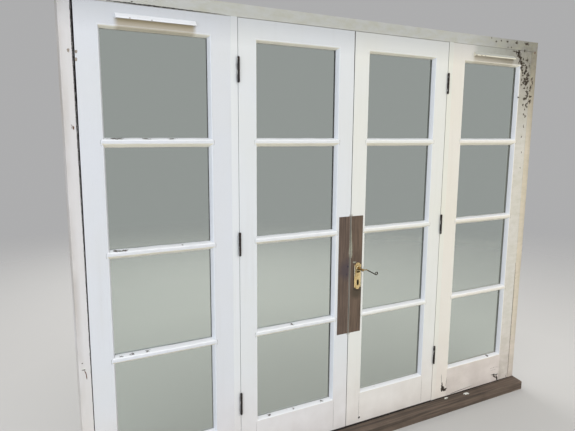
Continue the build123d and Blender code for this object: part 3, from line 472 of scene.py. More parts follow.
def paint_of(node_name):
    """The paint of a timber node: the tint of the longest name that fits it, and its grain."""
    grain = "Z" if any(word in node_name for word in UPRIGHTS) else "X"
    key = max((name for name in TINTS if node_name.startswith(name)), key=len)
    if (key, grain) not in paints:
        paints[key, grain] = painted(f"paint_{key}_{grain}", TINTS[key], grain,
                                     grime=GRIMES.get(key, 0.15), film=FILMS.get(key, 0.0))
    return paints[key, grain]


def dress(material, *node_names):
    """Give CAD nodes one material."""
    for node_name in node_names:
        slots = nodes[node_name].data.materials
        slots.clear()
        slots.append(material)


for node_name in nodes:
    if node_name.endswith(TIMBER):
        dress(paint_of(node_name), node_name)
print("paints", len(paints))

# %% [markdown]
# ## Beads and bars under thick paint
# A glazing bead is a bevelled strip, and a glazing bar has one on each side of its fin. Decades
# of paint have filled the joint between them, so each bar reads as one rounded ridge that runs
# over the stiles' edges a little. Cutting these shapes sharply, as CAD does, looks too new. So
# one soft profile is carried along each side of a pane and shortened by its own height at both
# ends, which makes the mitres, and the paint's unevenness is added to the points.

# %% Profiles of a bead and of a painted bar
BEAD = rounded([(0.0, 0.6), (0.6, 0.1), (4.4, 0.2), (6.6, 2.6), (11.8, 19.0), (12.6, 22.2),
                (13.0, 24.0)]) * MM
# The bar's section as (height from the middle, depth): a wide sloping underside, an upright
# crown and a steep upper bevel
BAR = rounded([(-18.5, 24.0), (-18.0, 20.5), (-5.6, -0.4), (-3.2, -2.0), (4.0, -2.4), (9.4, -2.0),
               (12.4, 0.2), (17.4, 17.5), (18.3, 21.5), (18.5, 24.0)]) * MM
SHOWN_DEPTH = 20 * MM
# A bar's crown, which is shallower than CROWN_DEPTH, runs over both stiles and sinks there
CROWN_DEPTH, OVERRUN, END_FADE, END_SINK = 1.2 * MM, 3.5 * MM, 4 * MM, 2.6 * MM


def side_of_pane(start, along, inward, length, front, steps, seed):
    """A mitred bead along one side of a pane, as a closed grid.

    Row t of the grid is the profile moved along the side by w + (length - 2 w) t, where w is how
    far the profile's point stands into the pane. The last column is the bead's hidden back.
    """
    profile = np.concatenate([BEAD, [[0.0, GLASS_BACK]]])
    w, depth = profile[:, 0][None, :], profile[:, 1][None, :]
    t = np.linspace(0, 1, steps)[:, None]
    run = w + (length - 2 * w) * t
    uneven = ripple(run, w * 2, 0.035, seed) * 0.22 * MM * (depth < SHOWN_DEPTH)
    start, along, inward = (np.asarray(v, float) for v in (start, along, inward))
    points = start + run[..., None] * along + w[..., None] * inward
    points[..., 1] = front + depth - uneven
    return points


def painted_bar(x_low, x_high, z_middle, front, steps, seed):
    """One glazing bar's ridge: the bar's profile carried along X, mitred into both side beads.

    A point at height h from the middle runs from x_low + w to x_high - w, where w is how far it
    stands into a pane. The crown runs OVERRUN further at both ends, where it sinks by the square
    of how far it is into the last END_FADE.
    """
    profile = np.concatenate([BAR, [[0.0, GLASS_BACK]]])
    h, depth = profile[:, 0][None, :], profile[:, 1][None, :]
    w = np.clip(np.abs(h) - BAR_FIN / 2, 0, BEAD_WIDTH)
    over = np.where(depth < CROWN_DEPTH, OVERRUN, 0.0)
    t = np.linspace(0, 1, steps)[:, None]
    x = (x_low + w - over) + (x_high - x_low - 2 * w + 2 * over) * t
    edge = np.clip((x_low + MM - x) / END_FADE, 0, 1)
    edge = edge + np.clip((x - x_high + MM) / END_FADE, 0, 1)
    sink = edge ** 2 * END_SINK * (over > 0)
    uneven = ripple(x, h * 2, 0.045, seed) * 0.35 * MM * (depth < SHOWN_DEPTH)
    wander = ripple(x, 0 * h, 0.16, seed + 1) * 0.5 * MM
    z = z_middle + h + wander * (w > 0) * (w < BEAD_WIDTH)
    return np.stack([x, front + depth + sink - uneven, z + 0 * t], -1)


print("profile points: bead", len(BEAD), "bar", len(BAR))

# %% [markdown]
# ## Flakes on the upper bevels
# Water stands on the upper bevel of a bar, against the glass, and there the paint lets go first.
# The places of the flakes were measured on the photograph. Each point of a bar carries how worn
# it is, as an attribute, and the paint's shader turns that into ragged flakes, so the wear stays
# on the bar whatever the pose.

# %% Where the bevels are worn
# (X, reach) of the flakes on each bar, counted from the top; -1 is the bead at the foot
CHIPS = {("left_sidelight", 0): [(-1.10, 0.020), (-1.075, 0.020), (-0.977, 0.020), (-0.87, 0.02)],
         ("left_sidelight", 1): [(-1.11, 0.012), (-1.075, 0.022), (-0.842, 0.006)],
         ("left_sidelight", 2): [(-1.108, 0.010), (-1.066, 0.014), (-1.003, 0.012)],
         ("left_leaf", 2): [(-0.32, 0.010)],
         ("left_leaf", -1): [(-0.438, 0.014), (-0.307, 0.008), (-0.146, 0.010)],
         ("right_sidelight", -1): [(1.045, 0.010)]}


WORN_HEIGHT, WORN_REACH = 15.0 * MM, 3.2 * MM


def worn_upper_bevel(points, z_middle, seed, places):
    """Wear on a bar's upper bevel: a band near the glass, worse at given places along X.

    The band is a bump over the height h of a point above the bar's middle, and each place adds a
    bump over the distance from it along X.
    """
    x, h = points[..., 0], points[..., 2] - z_middle
    band = np.exp(-((h - WORN_HEIGHT) / WORN_REACH) ** 2)
    wear = 0.02 + 0.10 * ripple(x, 0 * x, 0.11, seed)
    for place, reach in places:
        wear = wear + 0.62 * np.exp(-((x - place) / reach) ** 2)
    return band * wear


print("flaked places", sum(map(len, CHIPS.values())))

# %% [markdown]
# ## The painted beads of every panel
# A panel has a bead at its head and foot, beads up both sides of each pane, and three bars. They
# are one piece, as one coat of paint makes them, and it takes the place of the CAD's beads. Rain
# washes them, so they are a little whiter than the stiles.

# %% Beads and bars of every panel
UPRIGHT_STEPS, HEAD_STEPS, LONG_STEPS = 40, 60, 110


def bead_paint(panel):
    """The panel's paint with chips, a little whiter than the stiles."""
    tint = [min(c + 4, 240) for c in TINTS[panel]]
    return painted(f"bead_paint_{panel}", tint, "X", chipped=True)


for number, panel in enumerate(PANELS):
    x_low, x_high, front, z_low, pane = pane_lines(panel)
    grids, wear = [], []
    for level in range(PANES_HIGH):
        foot = z_low + level * (pane + BAR_FIN)
        top = foot + pane
        seed = 100 * number + 10 * level
        sides = [((x_low, 0, foot), (0, 0, 1), (1, 0, 0), pane, UPRIGHT_STEPS),
                 ((x_high, 0, foot), (0, 0, 1), (-1, 0, 0), pane, UPRIGHT_STEPS)]
        if level == 0:
            sides.append(((x_low, 0, foot), (1, 0, 0), (0, 0, 1), x_high - x_low, LONG_STEPS))
        if level == PANES_HIGH - 1:
            sides.append(((x_low, 0, top), (1, 0, 0), (0, 0, -1), x_high - x_low, HEAD_STEPS))
        for side, (start, along, inward, length, steps) in enumerate(sides):
            grid = side_of_pane(start, along, inward, length, front, steps, seed + side)
            grids.append(grid)
            if inward[2] > 0:
                wear.append(worn_upper_bevel(grid, foot - BAR_FIN / 2, seed,
                                             CHIPS.get((panel, -1), ())))
            else:
                wear.append(np.zeros(grid.shape[:2]))
        if level < PANES_HIGH - 1:
            middle = top + BAR_FIN / 2
            grid = painted_bar(x_low, x_high, middle, front, LONG_STEPS, seed + 5)
            grids.append(grid)
            from_top = PANES_HIGH - 2 - level
            wear.append(worn_upper_bevel(grid, middle, seed + 5, CHIPS.get((panel, from_top), ())))
    skin = make_piece(panel + "_painted_beads", shells(grids), BODY_OF[panel], bead_paint(panel),
                      wear=wear)
    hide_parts(panel + "_beads")

# %% [markdown]
# ## Bare wood
# The sill is unpainted hardwood gone brown and grey, and the inlays are bare hardwood let into
# the meeting stiles, dark from hands and weather. Wood shows as long fibres between two tones,
# with darker checks along the grain, so a noise is drawn out along the grain's axis.

# %% Bare wood
def bare_wood(name, light, dark, grain, fibre, stain=None):
    """Weathered wood. A stain is (place, reach, shade): a ragged dark spot round a point."""
    wood = Finish(name, dark)
    stretch = along_grain(grain, 0.035)
    fibres = wood.noise(fibre, stretch, detail=8, rough=0.6, warp=0.6)
    wood.lay(wood.span(fibres, 0.35, 0.65), light)
    checks = wood.span(wood.noise(fibre * 3, stretch, detail=3), 0.62, 0.72)
    wood.lay(wood.times(checks, 0.6), [c * 0.45 for c in dark])
    blotch = wood.span(wood.noise(9, detail=4), 0.5, 0.75)
    wood.lay(wood.times(blotch, 0.35), [c * 0.8 for c in dark])
    if stain:
        place, reach, shade = stain
        ragged = wood.times(wood.noise(40, detail=3), reach * 0.8)
        edge = wood.maths("SUBTRACT", wood.away_from(place), ragged)
        wood.lay(wood.span(edge, reach, reach * 0.2, 0, 0.85), shade)
    relief = wood.bump(wood.maths("SUBTRACT", fibres, checks), 0.7, 0.0008)
    return wood.done({"Roughness": 0.72, "Normal": relief})


dress(bare_wood("weathered_sill_wood", (116, 100, 87), (64, 54, 46), "X", 55), "sill")
dress(bare_wood("left_inlay_wood", (111, 94, 82), (82, 68, 59), "Z", 150,
                ((-0.014, 0, 0.905), 0.046, (76, 66, 70))), "left_leaf_inlay")
dress(bare_wood("right_inlay_wood", (114, 96, 81), (84, 69, 57), "Z", 150,
                ((0.045, 0, 0.785), 0.034, (74, 64, 50))), "right_leaf_inlay")
print("bare wood on the sill and on two inlays")

# %% [markdown]
# ## Metals
# The handles are brass whose lacquer has gone, dull and brown in patches. The plate carries
# painted highlights and reflections on its edges and rose, a painted shadow under the hub, and
# painted shade with dirt at the keyhole. The hinges are iron, nearly black, with paint left on the
# outer third of each barrel. One metal function takes these as layers.

# %% Metals
def metal(name, bright, dull, rough, patches=0.5, scale=60, metallic=1.0, dark_from=None,
          spots=(), under=0.0, kept_paint=None):
    """Worn metal: a bright tone with dull patches that are also rougher.

    Past X = dark_from it is nearly black. Each spot is (X, Z, reach, squash, shade): a tint round
    a point, whose heights count squash times; on the plate they are painted highlights and shades,
    with dirt at the keyhole. What faces down is darkened by under, a painted shade. With
    kept_paint, what a brush left stays in ragged patches on the outer third of every hinge's
    barrel.
    """
    skin = Finish(name, bright)
    worn = skin.span(skin.noise(scale, detail=6, rough=0.6), 0.42, 0.62)
    skin.lay(skin.times(worn, patches), dull)
    x, y, z = skin.place
    if dark_from:
        skin.lay(skin.span(x, dark_from, dark_from + 0.02, 0, 0.95), (44, 36, 32))
    # Painted shade on what faces down
    if under:
        skin.lay(skin.span(skin.facing[2], -0.15, -0.6, 0, under), (64, 52, 32))
    for spot_x, spot_z, reach, squash, shade in spots:
        offset = skin.add("CombineXYZ", {
            "X": skin.maths("SUBTRACT", x, spot_x),
            "Z": skin.times(skin.maths("SUBTRACT", z, spot_z), squash)}).outputs[0]
        away = skin.add("VectorMath", {0: offset}, operation="LENGTH").outputs["Value"]
        skin.lay(skin.span(away, reach, reach * 0.7, 0, 0.95), shade)
    if kept_paint:
        across = skin.maths("SUBTRACT", x, skin.times(skin.maths("SIGN", x), PIN_X * MM))
        ragged = skin.times(skin.noise(110, (1, 1, 0.5), detail=4), 0.0075)
        kept = skin.times(skin.span(skin.maths("ADD", across, ragged), -0.0016, -0.0024),
                          skin.span(y, -0.0125, -0.0105, 0.35, 1.0))
        skin.lay(kept, kept_paint)
    return skin.done({"Metallic": metallic, "Normal": skin.bump(worn, 0.25, 0.0003),
                      "Roughness": skin.span(worn, 0, 1, rough, rough + 0.25)})


# Painted light on the plate: a highlight on its right edge, a reflected olive band and a bright
# left rim, a dull ring round the rose's painted highlight, the hub's painted shadow, and the
# keyhole's painted shade with dirt round it
PLATE_SPOTS = [(0.0655, 0.850, 0.0034, 0.05, (255, 244, 208)),
               (0.0335, 0.893, 0.0024, 0.07, (132, 112, 70)),
               (0.0293, 0.893, 0.0013, 0.04, (252, 246, 226)),
               (0.0485, 0.905, 0.0170, 1.0, (150, 124, 76)),
               (0.0485, 0.906, 0.0150, 1.0, (255, 240, 192)),
               (0.0500, 0.887, 0.0140, 2.0, (84, 66, 38)),
               (0.0490, 0.832, 0.0078, 0.42, (18, 12, 8))]
brass = metal("worn_brass", (254, 228, 170), (216, 180, 116), 0.22, spots=PLATE_SPOTS, under=0.8)
lever_brass = metal("tarnished_brass", (214, 182, 128), (120, 96, 62), 0.26, 0.6,
                    dark_from=0.068, under=0.85)
iron = metal("rusty_iron", (30, 27, 28), (62, 46, 38), 0.7, 0.6, scale=140, metallic=0.0,
             kept_paint=(200, 200, 194))
lock_steel = metal("lock_steel", (150, 148, 144), (110, 100, 90), 0.35)
bolt_steel = metal("bolt_steel", (166, 164, 160), (120, 112, 104), 0.30)
dress(brass, "outside_backplate", "inside_backplate", "outside_lever", "inside_lever")
dress(iron, "frame_hinge_flaps", "left_leaf_hinge_flaps", "right_leaf_hinge_flaps", "hinge_pins")
dress(lock_steel, "lock_case", "lock_follower", "latch_bolt", "dead_bolt", "strike_plate",
      "spindle")
dress(bolt_steel, "bolt_guides", "top_bolt_rod", "bottom_bolt_rod", "bolt_keeps")
print("metals 5")

# %% [markdown]
# ## Plastic and glass
# The ventilators are extruded plastic, clean on the left and under grey dirt on the right. The
# glass is old window glass, clear with a grey-green tint, faintly wavy and with a film of dirt,
# so it takes a low bump and a roughness that varies from place to place.

# %% Plastic and glass
def plastic(name, tint, dirt):
    """White extruded plastic, a little yellowed, with grey dirt on what faces up."""
    cover = Finish(name, tint)
    dust = cover.span(cover.noise(22, (0.3, 1, 1), detail=5), 0.45, 0.75)
    cover.lay(cover.times(dust, 0.25), (196, 190, 172))
    cover.lay(cover.span(cover.facing[2], 0.1, 0.6, 0, dirt), (148, 156, 160))
    return cover.done({"Roughness": 0.35})


def window_glass(name):
    """Old window glass: clear with a grey-green tint, faintly wavy, with a film of dirt."""
    sheet = Finish(name, (214, 222, 216))
    film = sheet.span(sheet.noise(7, (1, 1, 0.5), detail=6), 0.4, 0.8)
    return sheet.done({"Transmission Weight": 1.0, "IOR": 1.45,
                       "Roughness": sheet.span(film, 0, 1, 0.0, 0.06),
                       "Normal": sheet.bump(sheet.noise(5, detail=1), 0.06, 0.01)})


vents = [node_name for node_name in nodes if "vent" in node_name]
dress(plastic("white_plastic", (234, 236, 240), 0.0), *vents)
dress(plastic("dirty_plastic", (226, 222, 204), 0.55), "right_vent_hood")
dress(window_glass("old_window_glass"), *[panel + "_glass" for panel in PANELS])
print("ventilator nodes", len(vents), "glass nodes", len(PANELS))

# %% [markdown]
# ## Turned and flat hardware
# Hinges, roses and hubs are turned shapes: a profile of radius over height, carried round an
# axis. Flaps and plates are flat shapes: an outline that keeps its size up the edge and is drawn
# in a little at the face, because old plates have soft arrises that catch the light.

# %% Helpers for hardware
def turned(profile, centre, axis, sides=28):
    """A profile of (radius, height) pairs in mm, turned round an axis that starts at centre.

    A point is centre + radius * (cos turn * across + sin turn * third) + height * axis.
    """
    axis = np.asarray(axis, float)
    across = np.cross(axis, (0.36, 0.48, 0.80))
    across = across / np.linalg.norm(across)
    third = np.cross(axis, across)
    profile = np.asarray(profile, float)
    turn = np.linspace(0, 2 * np.pi, sides, endpoint=False)[None, :, None]
    ring = np.cos(turn) * across + np.sin(turn) * third
    return (np.asarray(centre) + profile[:, :1, None] * ring + profile[:, 1:, None] * axis) * MM


def drawn_in(outline, by):
    """A closed anticlockwise outline moved inwards, square to the chord of each neighbour pair."""
    chord = np.roll(outline, -1, axis=0) - np.roll(outline, 1, axis=0)
    inward = np.stack([-chord[:, 1], chord[:, 0]], 1)
    return outline + by * inward / np.linalg.norm(inward, axis=1, keepdims=True)


def round_rectangle(low, high, radius, steps=5):
    """A rectangle's outline with round corners, anticlockwise, between two corner points."""
    (x_low, z_low), (x_high, z_high) = low, high
    centres = np.array([(x_high - radius, z_high - radius), (x_low + radius, z_high - radius),
                        (x_low + radius, z_low + radius), (x_high - radius, z_low + radius)])
    turn = np.linspace(0, np.pi / 2, steps)[None, :] + np.pi / 2 * np.arange(4)[:, None]
    arcs = centres[:, None] + radius * np.stack([np.cos(turn), np.sin(turn)], -1)
    return arcs.reshape(-1, 2)


def on_axis(outline, depth, axis):
    """An outline's points in space, with the depth as their coordinate number axis."""
    columns = [outline[:, 0], outline[:, 1]]
    columns.insert(axis, np.full(len(outline), float(depth)))
    return np.stack(columns, 1)


def plate(outline, back, face, bevel, axis):
    """A flat plate from back to face: the same outline up the edge, drawn in at the face."""
    toward = 1 if face > back else -1
    rings = [on_axis(outline, back, axis), on_axis(outline, face - toward * bevel, axis),
             on_axis(drawn_in(outline, bevel), face, axis)]
    return np.stack(rings) * MM


def both_ways(grids):
    """The grids with their mirror images across the middle of the doors."""
    return grids + [grid * (-1, 1, 1) for grid in grids]


print("a round rectangle has", len(round_rectangle((0, 0), (10, 20), 2)), "points")

# %% [markdown]
# ## Hinges
# Each butt hinge has three knuckles on the frame and two on the leaf, round one pin with button
# ends. From outside only the knuckles show, as a dark barrel with tapered ends; the flaps come
# into sight when a leaf swings, so they have their screws too.

# %% Hinges
hinge_low, hinge_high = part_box("frame_hinge_flaps")
HINGE_HEIGHT = 102
MIDDLE_HINGE = 1088
HINGE_CENTRES = (hinge_low.z / MM + HINGE_HEIGHT / 2, MIDDLE_HINGE,
                 hinge_high.z / MM - HINGE_HEIGHT / 2)
KNUCKLE_PITCH = HINGE_HEIGHT / 5
FLAP_DEPTH = 35
# A flap's back and face along X, and its screws' places along Y and from its middle along Z
FRAME_FLAP, LEAF_FLAP = (592.2, 589.75), (586.8, 589.25)
SCREW_PLACES = ((25, -35), (13, 0), (25, 35))
KNUCKLE_RIM = np.array([(4.2, 0.2), (5.0, 0.5), (5.35, 1.3)])
SCREW = [(3.8, -0.5), (3.7, 0.03), (3.0, 0.12), (1.2, 0.15)]
# A pin's button, from its tip down to the shaft
BUTTON = np.array([(0.7, 53.75), (2.2, 53.5), (3.6, 52.9), (4.4, 52.0), (4.5, 51.4), (2.9, 51.3)])


def ended(rim, foot, top):
    """A turned profile that ends in a rim at its foot and in the same rim upside down on top."""
    return np.concatenate([rim + (0, foot), rim[::-1] * (1, -1) + (0, top)])


def hinge_side(numbers, back, face):
    """The grids of one flap with its knuckles, webs and screws, for all three heights."""
    toward = 1 if face > back else -1
    grids = []
    for centre in HINGE_CENTRES:
        foot = centre - HINGE_HEIGHT / 2
        outline = round_rectangle((0.3, foot), (FLAP_DEPTH, foot + HINGE_HEIGHT), 3)
        grids.append(plate(outline, back, face, 0.3, 0))
        for number in numbers:
            low, high = foot + number * KNUCKLE_PITCH, foot + (number + 1) * KNUCKLE_PITCH
            web = round_rectangle((PIN_Y, low + 0.4), (1.0, high - 0.4), 0.6)
            grids.append(plate(web, back, face, 0.2, 0))
            grids.append(turned(ended(KNUCKLE_RIM, low, high), (PIN_X, PIN_Y, 0), (0, 0, 1)))
        for deep, rise in SCREW_PLACES:
            grids.append(turned(SCREW, (face, deep, centre + rise), (toward, 0, 0), 18))
    return grids


grids = both_ways(hinge_side((0, 2, 4), *FRAME_FLAP))
flaps = make_piece("frame_hinge_irons", shells(grids), "frame", iron)
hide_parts("frame_hinge_flaps")
leaf_side = hinge_side((1, 3), *LEAF_FLAP)
for panel, sign in (("left_leaf", -1), ("right_leaf", 1)):
    grids = [grid * (sign, 1, 1) for grid in leaf_side]
    flaps = make_piece(panel + "_hinge_irons", shells(grids), panel, iron)
    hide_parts(panel + "_hinge_flaps")
pins = [turned(ended(BUTTON, centre, centre), (PIN_X, PIN_Y, 0), (0, 0, 1))
        for centre in HINGE_CENTRES]
pins = make_piece("round_hinge_pins", shells(both_ways(pins)), "frame", iron)
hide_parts("hinge_pins")

# %% [markdown]
# ## Lever handles
# The handle is a scroll lever: a bar that leaves the hub level, slopes down and curls up at its
# end. Its centre line is found from its headings, as a driver follows a road: the heading is the
# running sum of step / radius, and the place is the running sum of step times the heading's
# direction. So the bends meet without kinks, and the bar's radius can taper along the same steps.

# %% Lever
SPINDLE_X, SPINDLE_Z = 48.5, 905
LEVER_LEVEL, LEVER_BEND, LEVER_DROP, LEVER_REACH, LEVER_OUT = 18, 14, 33, 84, 44
SCROLL, SCROLL_TURN = 6.6, math.radians(280)
HUB = rounded([(8.6, 0.4), (9.3, 0.9), (9.1, 3.0), (7.0, 8.0), (6.0, 16.0), (5.7, 25.0),
               (6.0, 34.0), (6.7, 41.0), (6.5, 45.5), (5.0, 47.7), (2.0, 48.2)], 1)
# Where each handle's plate sits along Y, and which way is out
SEATS = {"outside": (-0.6, -1), "inside": (44.0, 1)}


def headed_path(parts, step=0.7):
    """Places, headings and distances along parts that are (length, turn per mm) pairs."""
    counts = [math.ceil(length / step) for length, _ in parts]
    steps = np.repeat([length / n for (length, _), n in zip(parts, counts)], counts)
    turns = np.repeat([turn for _, turn in parts], counts) * steps
    heading = np.cumsum(turns) - turns / 2
    way = np.stack([np.cos(heading), np.sin(heading)], 1) * steps[:, None]
    return np.cumsum(way, axis=0), heading, np.cumsum(steps)


def lever(seat, out):
    """The grids of one handle on a seat at Y = seat: the bar, LEVER_OUT mm out, and the hub.

    The straight between the two bends is as long as makes the bar drop by LEVER_DROP. The bar's
    radius falls from 2.8 to 2.2, swells by 0.3 near the tip and is rounded off at its end.
    """
    fall, run = LEVER_DROP - 2 * LEVER_BEND, LEVER_REACH - LEVER_LEVEL
    slope = math.atan2(fall, run) + math.asin(2 * LEVER_BEND / math.hypot(fall, run))
    straight = (LEVER_DROP - 2 * LEVER_BEND * (1 - math.cos(slope))) / math.sin(slope)
    place, heading, along = headed_path([
        (LEVER_LEVEL, 0), (LEVER_BEND * slope, -1 / LEVER_BEND), (straight, 0),
        (LEVER_BEND * slope, 1 / LEVER_BEND), (SCROLL * SCROLL_TURN, 1 / SCROLL)])
    left = along[-1] - along
    radius = 2.8 - 0.6 * along / along[-1] + 0.3 * np.exp(-(left / 2.5) ** 2)
    radius = radius * np.sqrt(np.clip(1 - (1 - left / 2.2).clip(0) ** 2, 0.02, 1))
    turn = np.linspace(0, 2 * np.pi, 16, endpoint=False)[None, :]
    square, deep = radius[:, None] * np.cos(turn), radius[:, None] * np.sin(turn)
    bar = np.stack([SPINDLE_X + place[:, :1] - square * np.sin(heading)[:, None],
                    seat + out * LEVER_OUT + deep,
                    SPINDLE_Z + place[:, 1:] + square * np.cos(heading)[:, None]], -1) * MM
    return [bar, turned(HUB, (SPINDLE_X, seat, SPINDLE_Z), (0, out, 0), 40)]


for side, seat in SEATS.items():
    handle = make_piece(side + "_scroll_lever", shells(lever(*seat)), "lever_set", lever_brass)
    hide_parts(side + "_lever")

# %% [markdown]
# ## Backplates
# The plate is cast with a narrower round-cornered tab at both ends, a keyhole cut through it and
# a turned rose that holds the hub. The keyhole's rim has one point for every point of the
# outline, on the way from the keyhole's centre to it, so the sheet between them is one grid.

# %% Rose and plate
PLATE_FOOT, PLATE_TOP, KEYHOLE_Z = 797, 934, 838.0
ROSE = [(14, 2.3), (14, 2.9), (13.4, 4.4), (12.7, 5.9), (11.9, 6.9), (11.0, 7.4), (10.3, 7.45),
        (9.9, 7.0), (9.9, 2.3)]
PLATE_SCREW = [(2.6, 2.3), (2.5, 2.7), (1.8, 3.1), (0.6, 3.25)]
PLATE_SCREWS = (927.5, 803.5)


def plate_outline(step=2.0):
    """The backplate's outline: a rectangle with narrower round-cornered tabs at both ends.

    Half of it is laid out, cut into even steps along its length, and mirrored.
    """
    turn = np.linspace(0, np.pi / 2, 7)
    arc = 8 * np.stack([np.sin(turn), 1 - np.cos(turn)], 1) + (3, 0)
    foot = np.concatenate([[(0, 0)], arc, [(11, 9), (20, 9)]])
    half = np.concatenate([foot + (0, PLATE_FOOT), foot[::-1] * (1, -1) + (0, PLATE_TOP)])
    along = np.append(0, np.cumsum(np.linalg.norm(np.diff(half, axis=0), axis=1)))
    even = np.union1d(along, np.arange(0, along[-1], step))
    half = np.stack([np.interp(even, along, half[:, i]) for i in (0, 1)], 1)
    return np.concatenate([half[:-1], half[:0:-1] * (-1, 1)])


def keyhole_rim(outline, radius, slot, length):
    """The keyhole's point that lies on the way from its centre to each point of the outline.

    Its reach is the round's radius or, if that is more, the way to the slot's side or foot.
    """
    centre = np.array([0, KEYHOLE_Z])
    away = outline - centre
    away = away / np.linalg.norm(away, axis=1, keepdims=True)
    side = slot / np.maximum(np.abs(away[:, 0]), 1e-6)
    foot = np.where(away[:, 1] < 0, length / np.maximum(-away[:, 1], 1e-6), 0)
    reach = np.maximum(radius, np.minimum(side, foot))
    return centre + away * reach[:, None]


def lock_plate(seat, out):
    """The grids of one backplate: the plate with its keyhole, the rose and two screws."""
    outline = plate_outline()
    keyhole, wide = keyhole_rim(outline, 4.0, 1.75, 21.0), keyhole_rim(outline, 4.5, 2.2, 21.5)
    rings = [(outline, 0), (outline, 1.7), (drawn_in(outline, 0.8), 2.5), (wide, 2.5),
             (keyhole, 2.1), (keyhole, 0)]
    sheet = np.stack([on_axis(ring + (SPINDLE_X, 0), seat + out * depth, 1)
                      for ring, depth in rings]) * MM
    rose = turned(ROSE, (SPINDLE_X, seat, SPINDLE_Z), (0, out, 0), 40)
    screws = [turned(PLATE_SCREW, (SPINDLE_X, seat, z), (0, out, 0), 16) for z in PLATE_SCREWS]
    return [(sheet, True, True, False), (rose, True, True, False)] + shells(screws)


for side, seat in SEATS.items():
    backing = make_piece(side + "_lock_plate", lock_plate(*seat), "right_leaf", brass,
                         smooth_angle=math.radians(30))
    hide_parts(side + "_backplate")

# %% [markdown]
# ## Patches and cracks
# Old joinery is read from its faults: paint flaked off a bar, a joint that has opened, a rotten
# spot at the foot of a stile. Each one is a very thin closed shell on the face that carries it,
# which is far lighter than cutting the timber. A patch is rings round a middle, whose radius
# wanders with the turn; a crack is a strip along a path, pointed at both ends. Their places in
# the cells below were measured on the photograph, in mm.

# %% Helpers for faults
def matte(name, first, second):
    """A dull finish between two tones: bare wood, dirt, rust or filler."""
    dull = Finish(name, first)
    dull.lay(dull.span(dull.noise(300, detail=5, rough=0.65), 0.38, 0.62), second)
    return dull.done({"Roughness": 0.85})


def patch(x, z, wide, high, front, seed, proud=0.25, ragged=0.35, lean=0.0):
    """A ragged patch on a front face, in mm: rings whose radius is 1 + ragged * ripple."""
    turn = np.linspace(0, 2 * np.pi, 44, endpoint=False)
    rim = 1 + ragged * ripple(np.cos(turn), np.sin(turn), 1.0, seed)
    reach = np.array([1.0, 1.0, 0.86, 0.4])[:, None] * rim
    across, up = reach * wide * np.cos(turn), reach * high * np.sin(turn)
    depth = front + proud * np.array([0.6, -0.3, -1.0, -1.0])[:, None] + 0 * across
    return np.stack([x + across * math.cos(lean) - up * math.sin(lean), depth,
                     z + across * math.sin(lean) + up * math.cos(lean)], -1) * MM


def crack(path, wide, front, seed, proud=0.12, wander=0.5, blunt=0.35):
    """A thin strip along a path of (x, z) points in mm, with pointed ends and uneven sides.

    At t along the path its half width is wide / 2 * sin(pi t) ** blunt * (1 + 0.3 * ripple), and
    wide may be a list of widths that are spread evenly along the path.
    """
    path = np.asarray(path, float)
    along = np.append(0, np.cumsum(np.linalg.norm(np.diff(path, axis=0), axis=1)))
    even = np.linspace(0, along[-1], max(12, int(along[-1] / 4)))
    line = np.stack([np.interp(even, along, path[:, i]) for i in (0, 1)], 1)
    way = np.gradient(line, axis=0)
    way = way / np.linalg.norm(way, axis=1, keepdims=True)
    square = np.stack([-way[:, 1], way[:, 0]], 1)
    line = line + square * (wander * ripple(even, 0 * even, 30, seed))[:, None]
    t, wide = even / along[-1], np.atleast_1d(wide)
    half = np.interp(t, np.linspace(0, 1, len(wide)), wide) / 2
    half = half * np.sin(np.pi * t.clip(0.01, 0.99)) ** blunt
    half = half * (1 + 0.3 * ripple(even, 0 * even, 12, seed + 1))
    side = np.array([1, 1, -1, -1])[None, :, None]
    places = line[:, None] + square[:, None] * half[:, None, None] * side
    depth = front + proud * np.array([0.5, -1, -1, 0.5])[None, :] + 0 * places[..., 0]
    return np.stack([places[..., 0], depth, places[..., 1]], -1) * MM


dark_wood = matte("bared_dark_wood", (40, 33, 28), (72, 60, 52))
rust = matte("rust_stain", (120, 84, 58), (84, 58, 44))
dirt = matte("old_dirt", (70, 64, 56), (112, 104, 92))
# Black for painted shade: in the old bolt hole and along the feet of leaves and sashes
painted_black_shade = matte("painted_black_shade", (12, 10, 9), (28, 24, 22))
faint_dirt = matte("faint_dirt", (168, 158, 148), (132, 120, 108))
root_brown = matte("creeper_root_marks", (48, 41, 33), (78, 67, 53))
shadow_dirt = matte("dirt_in_a_joint", (46, 44, 44), (64, 60, 58))
filler = matte("grey_filler", (164, 163, 148), (134, 133, 118))
flake_paint = matte("loose_white_paint", (226, 228, 224), (206, 208, 200))
blue_stain = matte("blue_black_stain", (62, 60, 74), (44, 42, 52))
print("a patch has", patch(0, 0, 5, 5, 0, 1).shape[:2], "points; dull finishes 10")

# %% [markdown]
# ## Faults of the frame and the fixed sashes
# The joints between jambs and sashes have opened, the left jamb has a chip with a rusty run under
# it, and the foot of the right sidelight is rotten. Flakes of paint hang loose over the worst
# chips. Each kind of fault is one piece, because it has one finish.

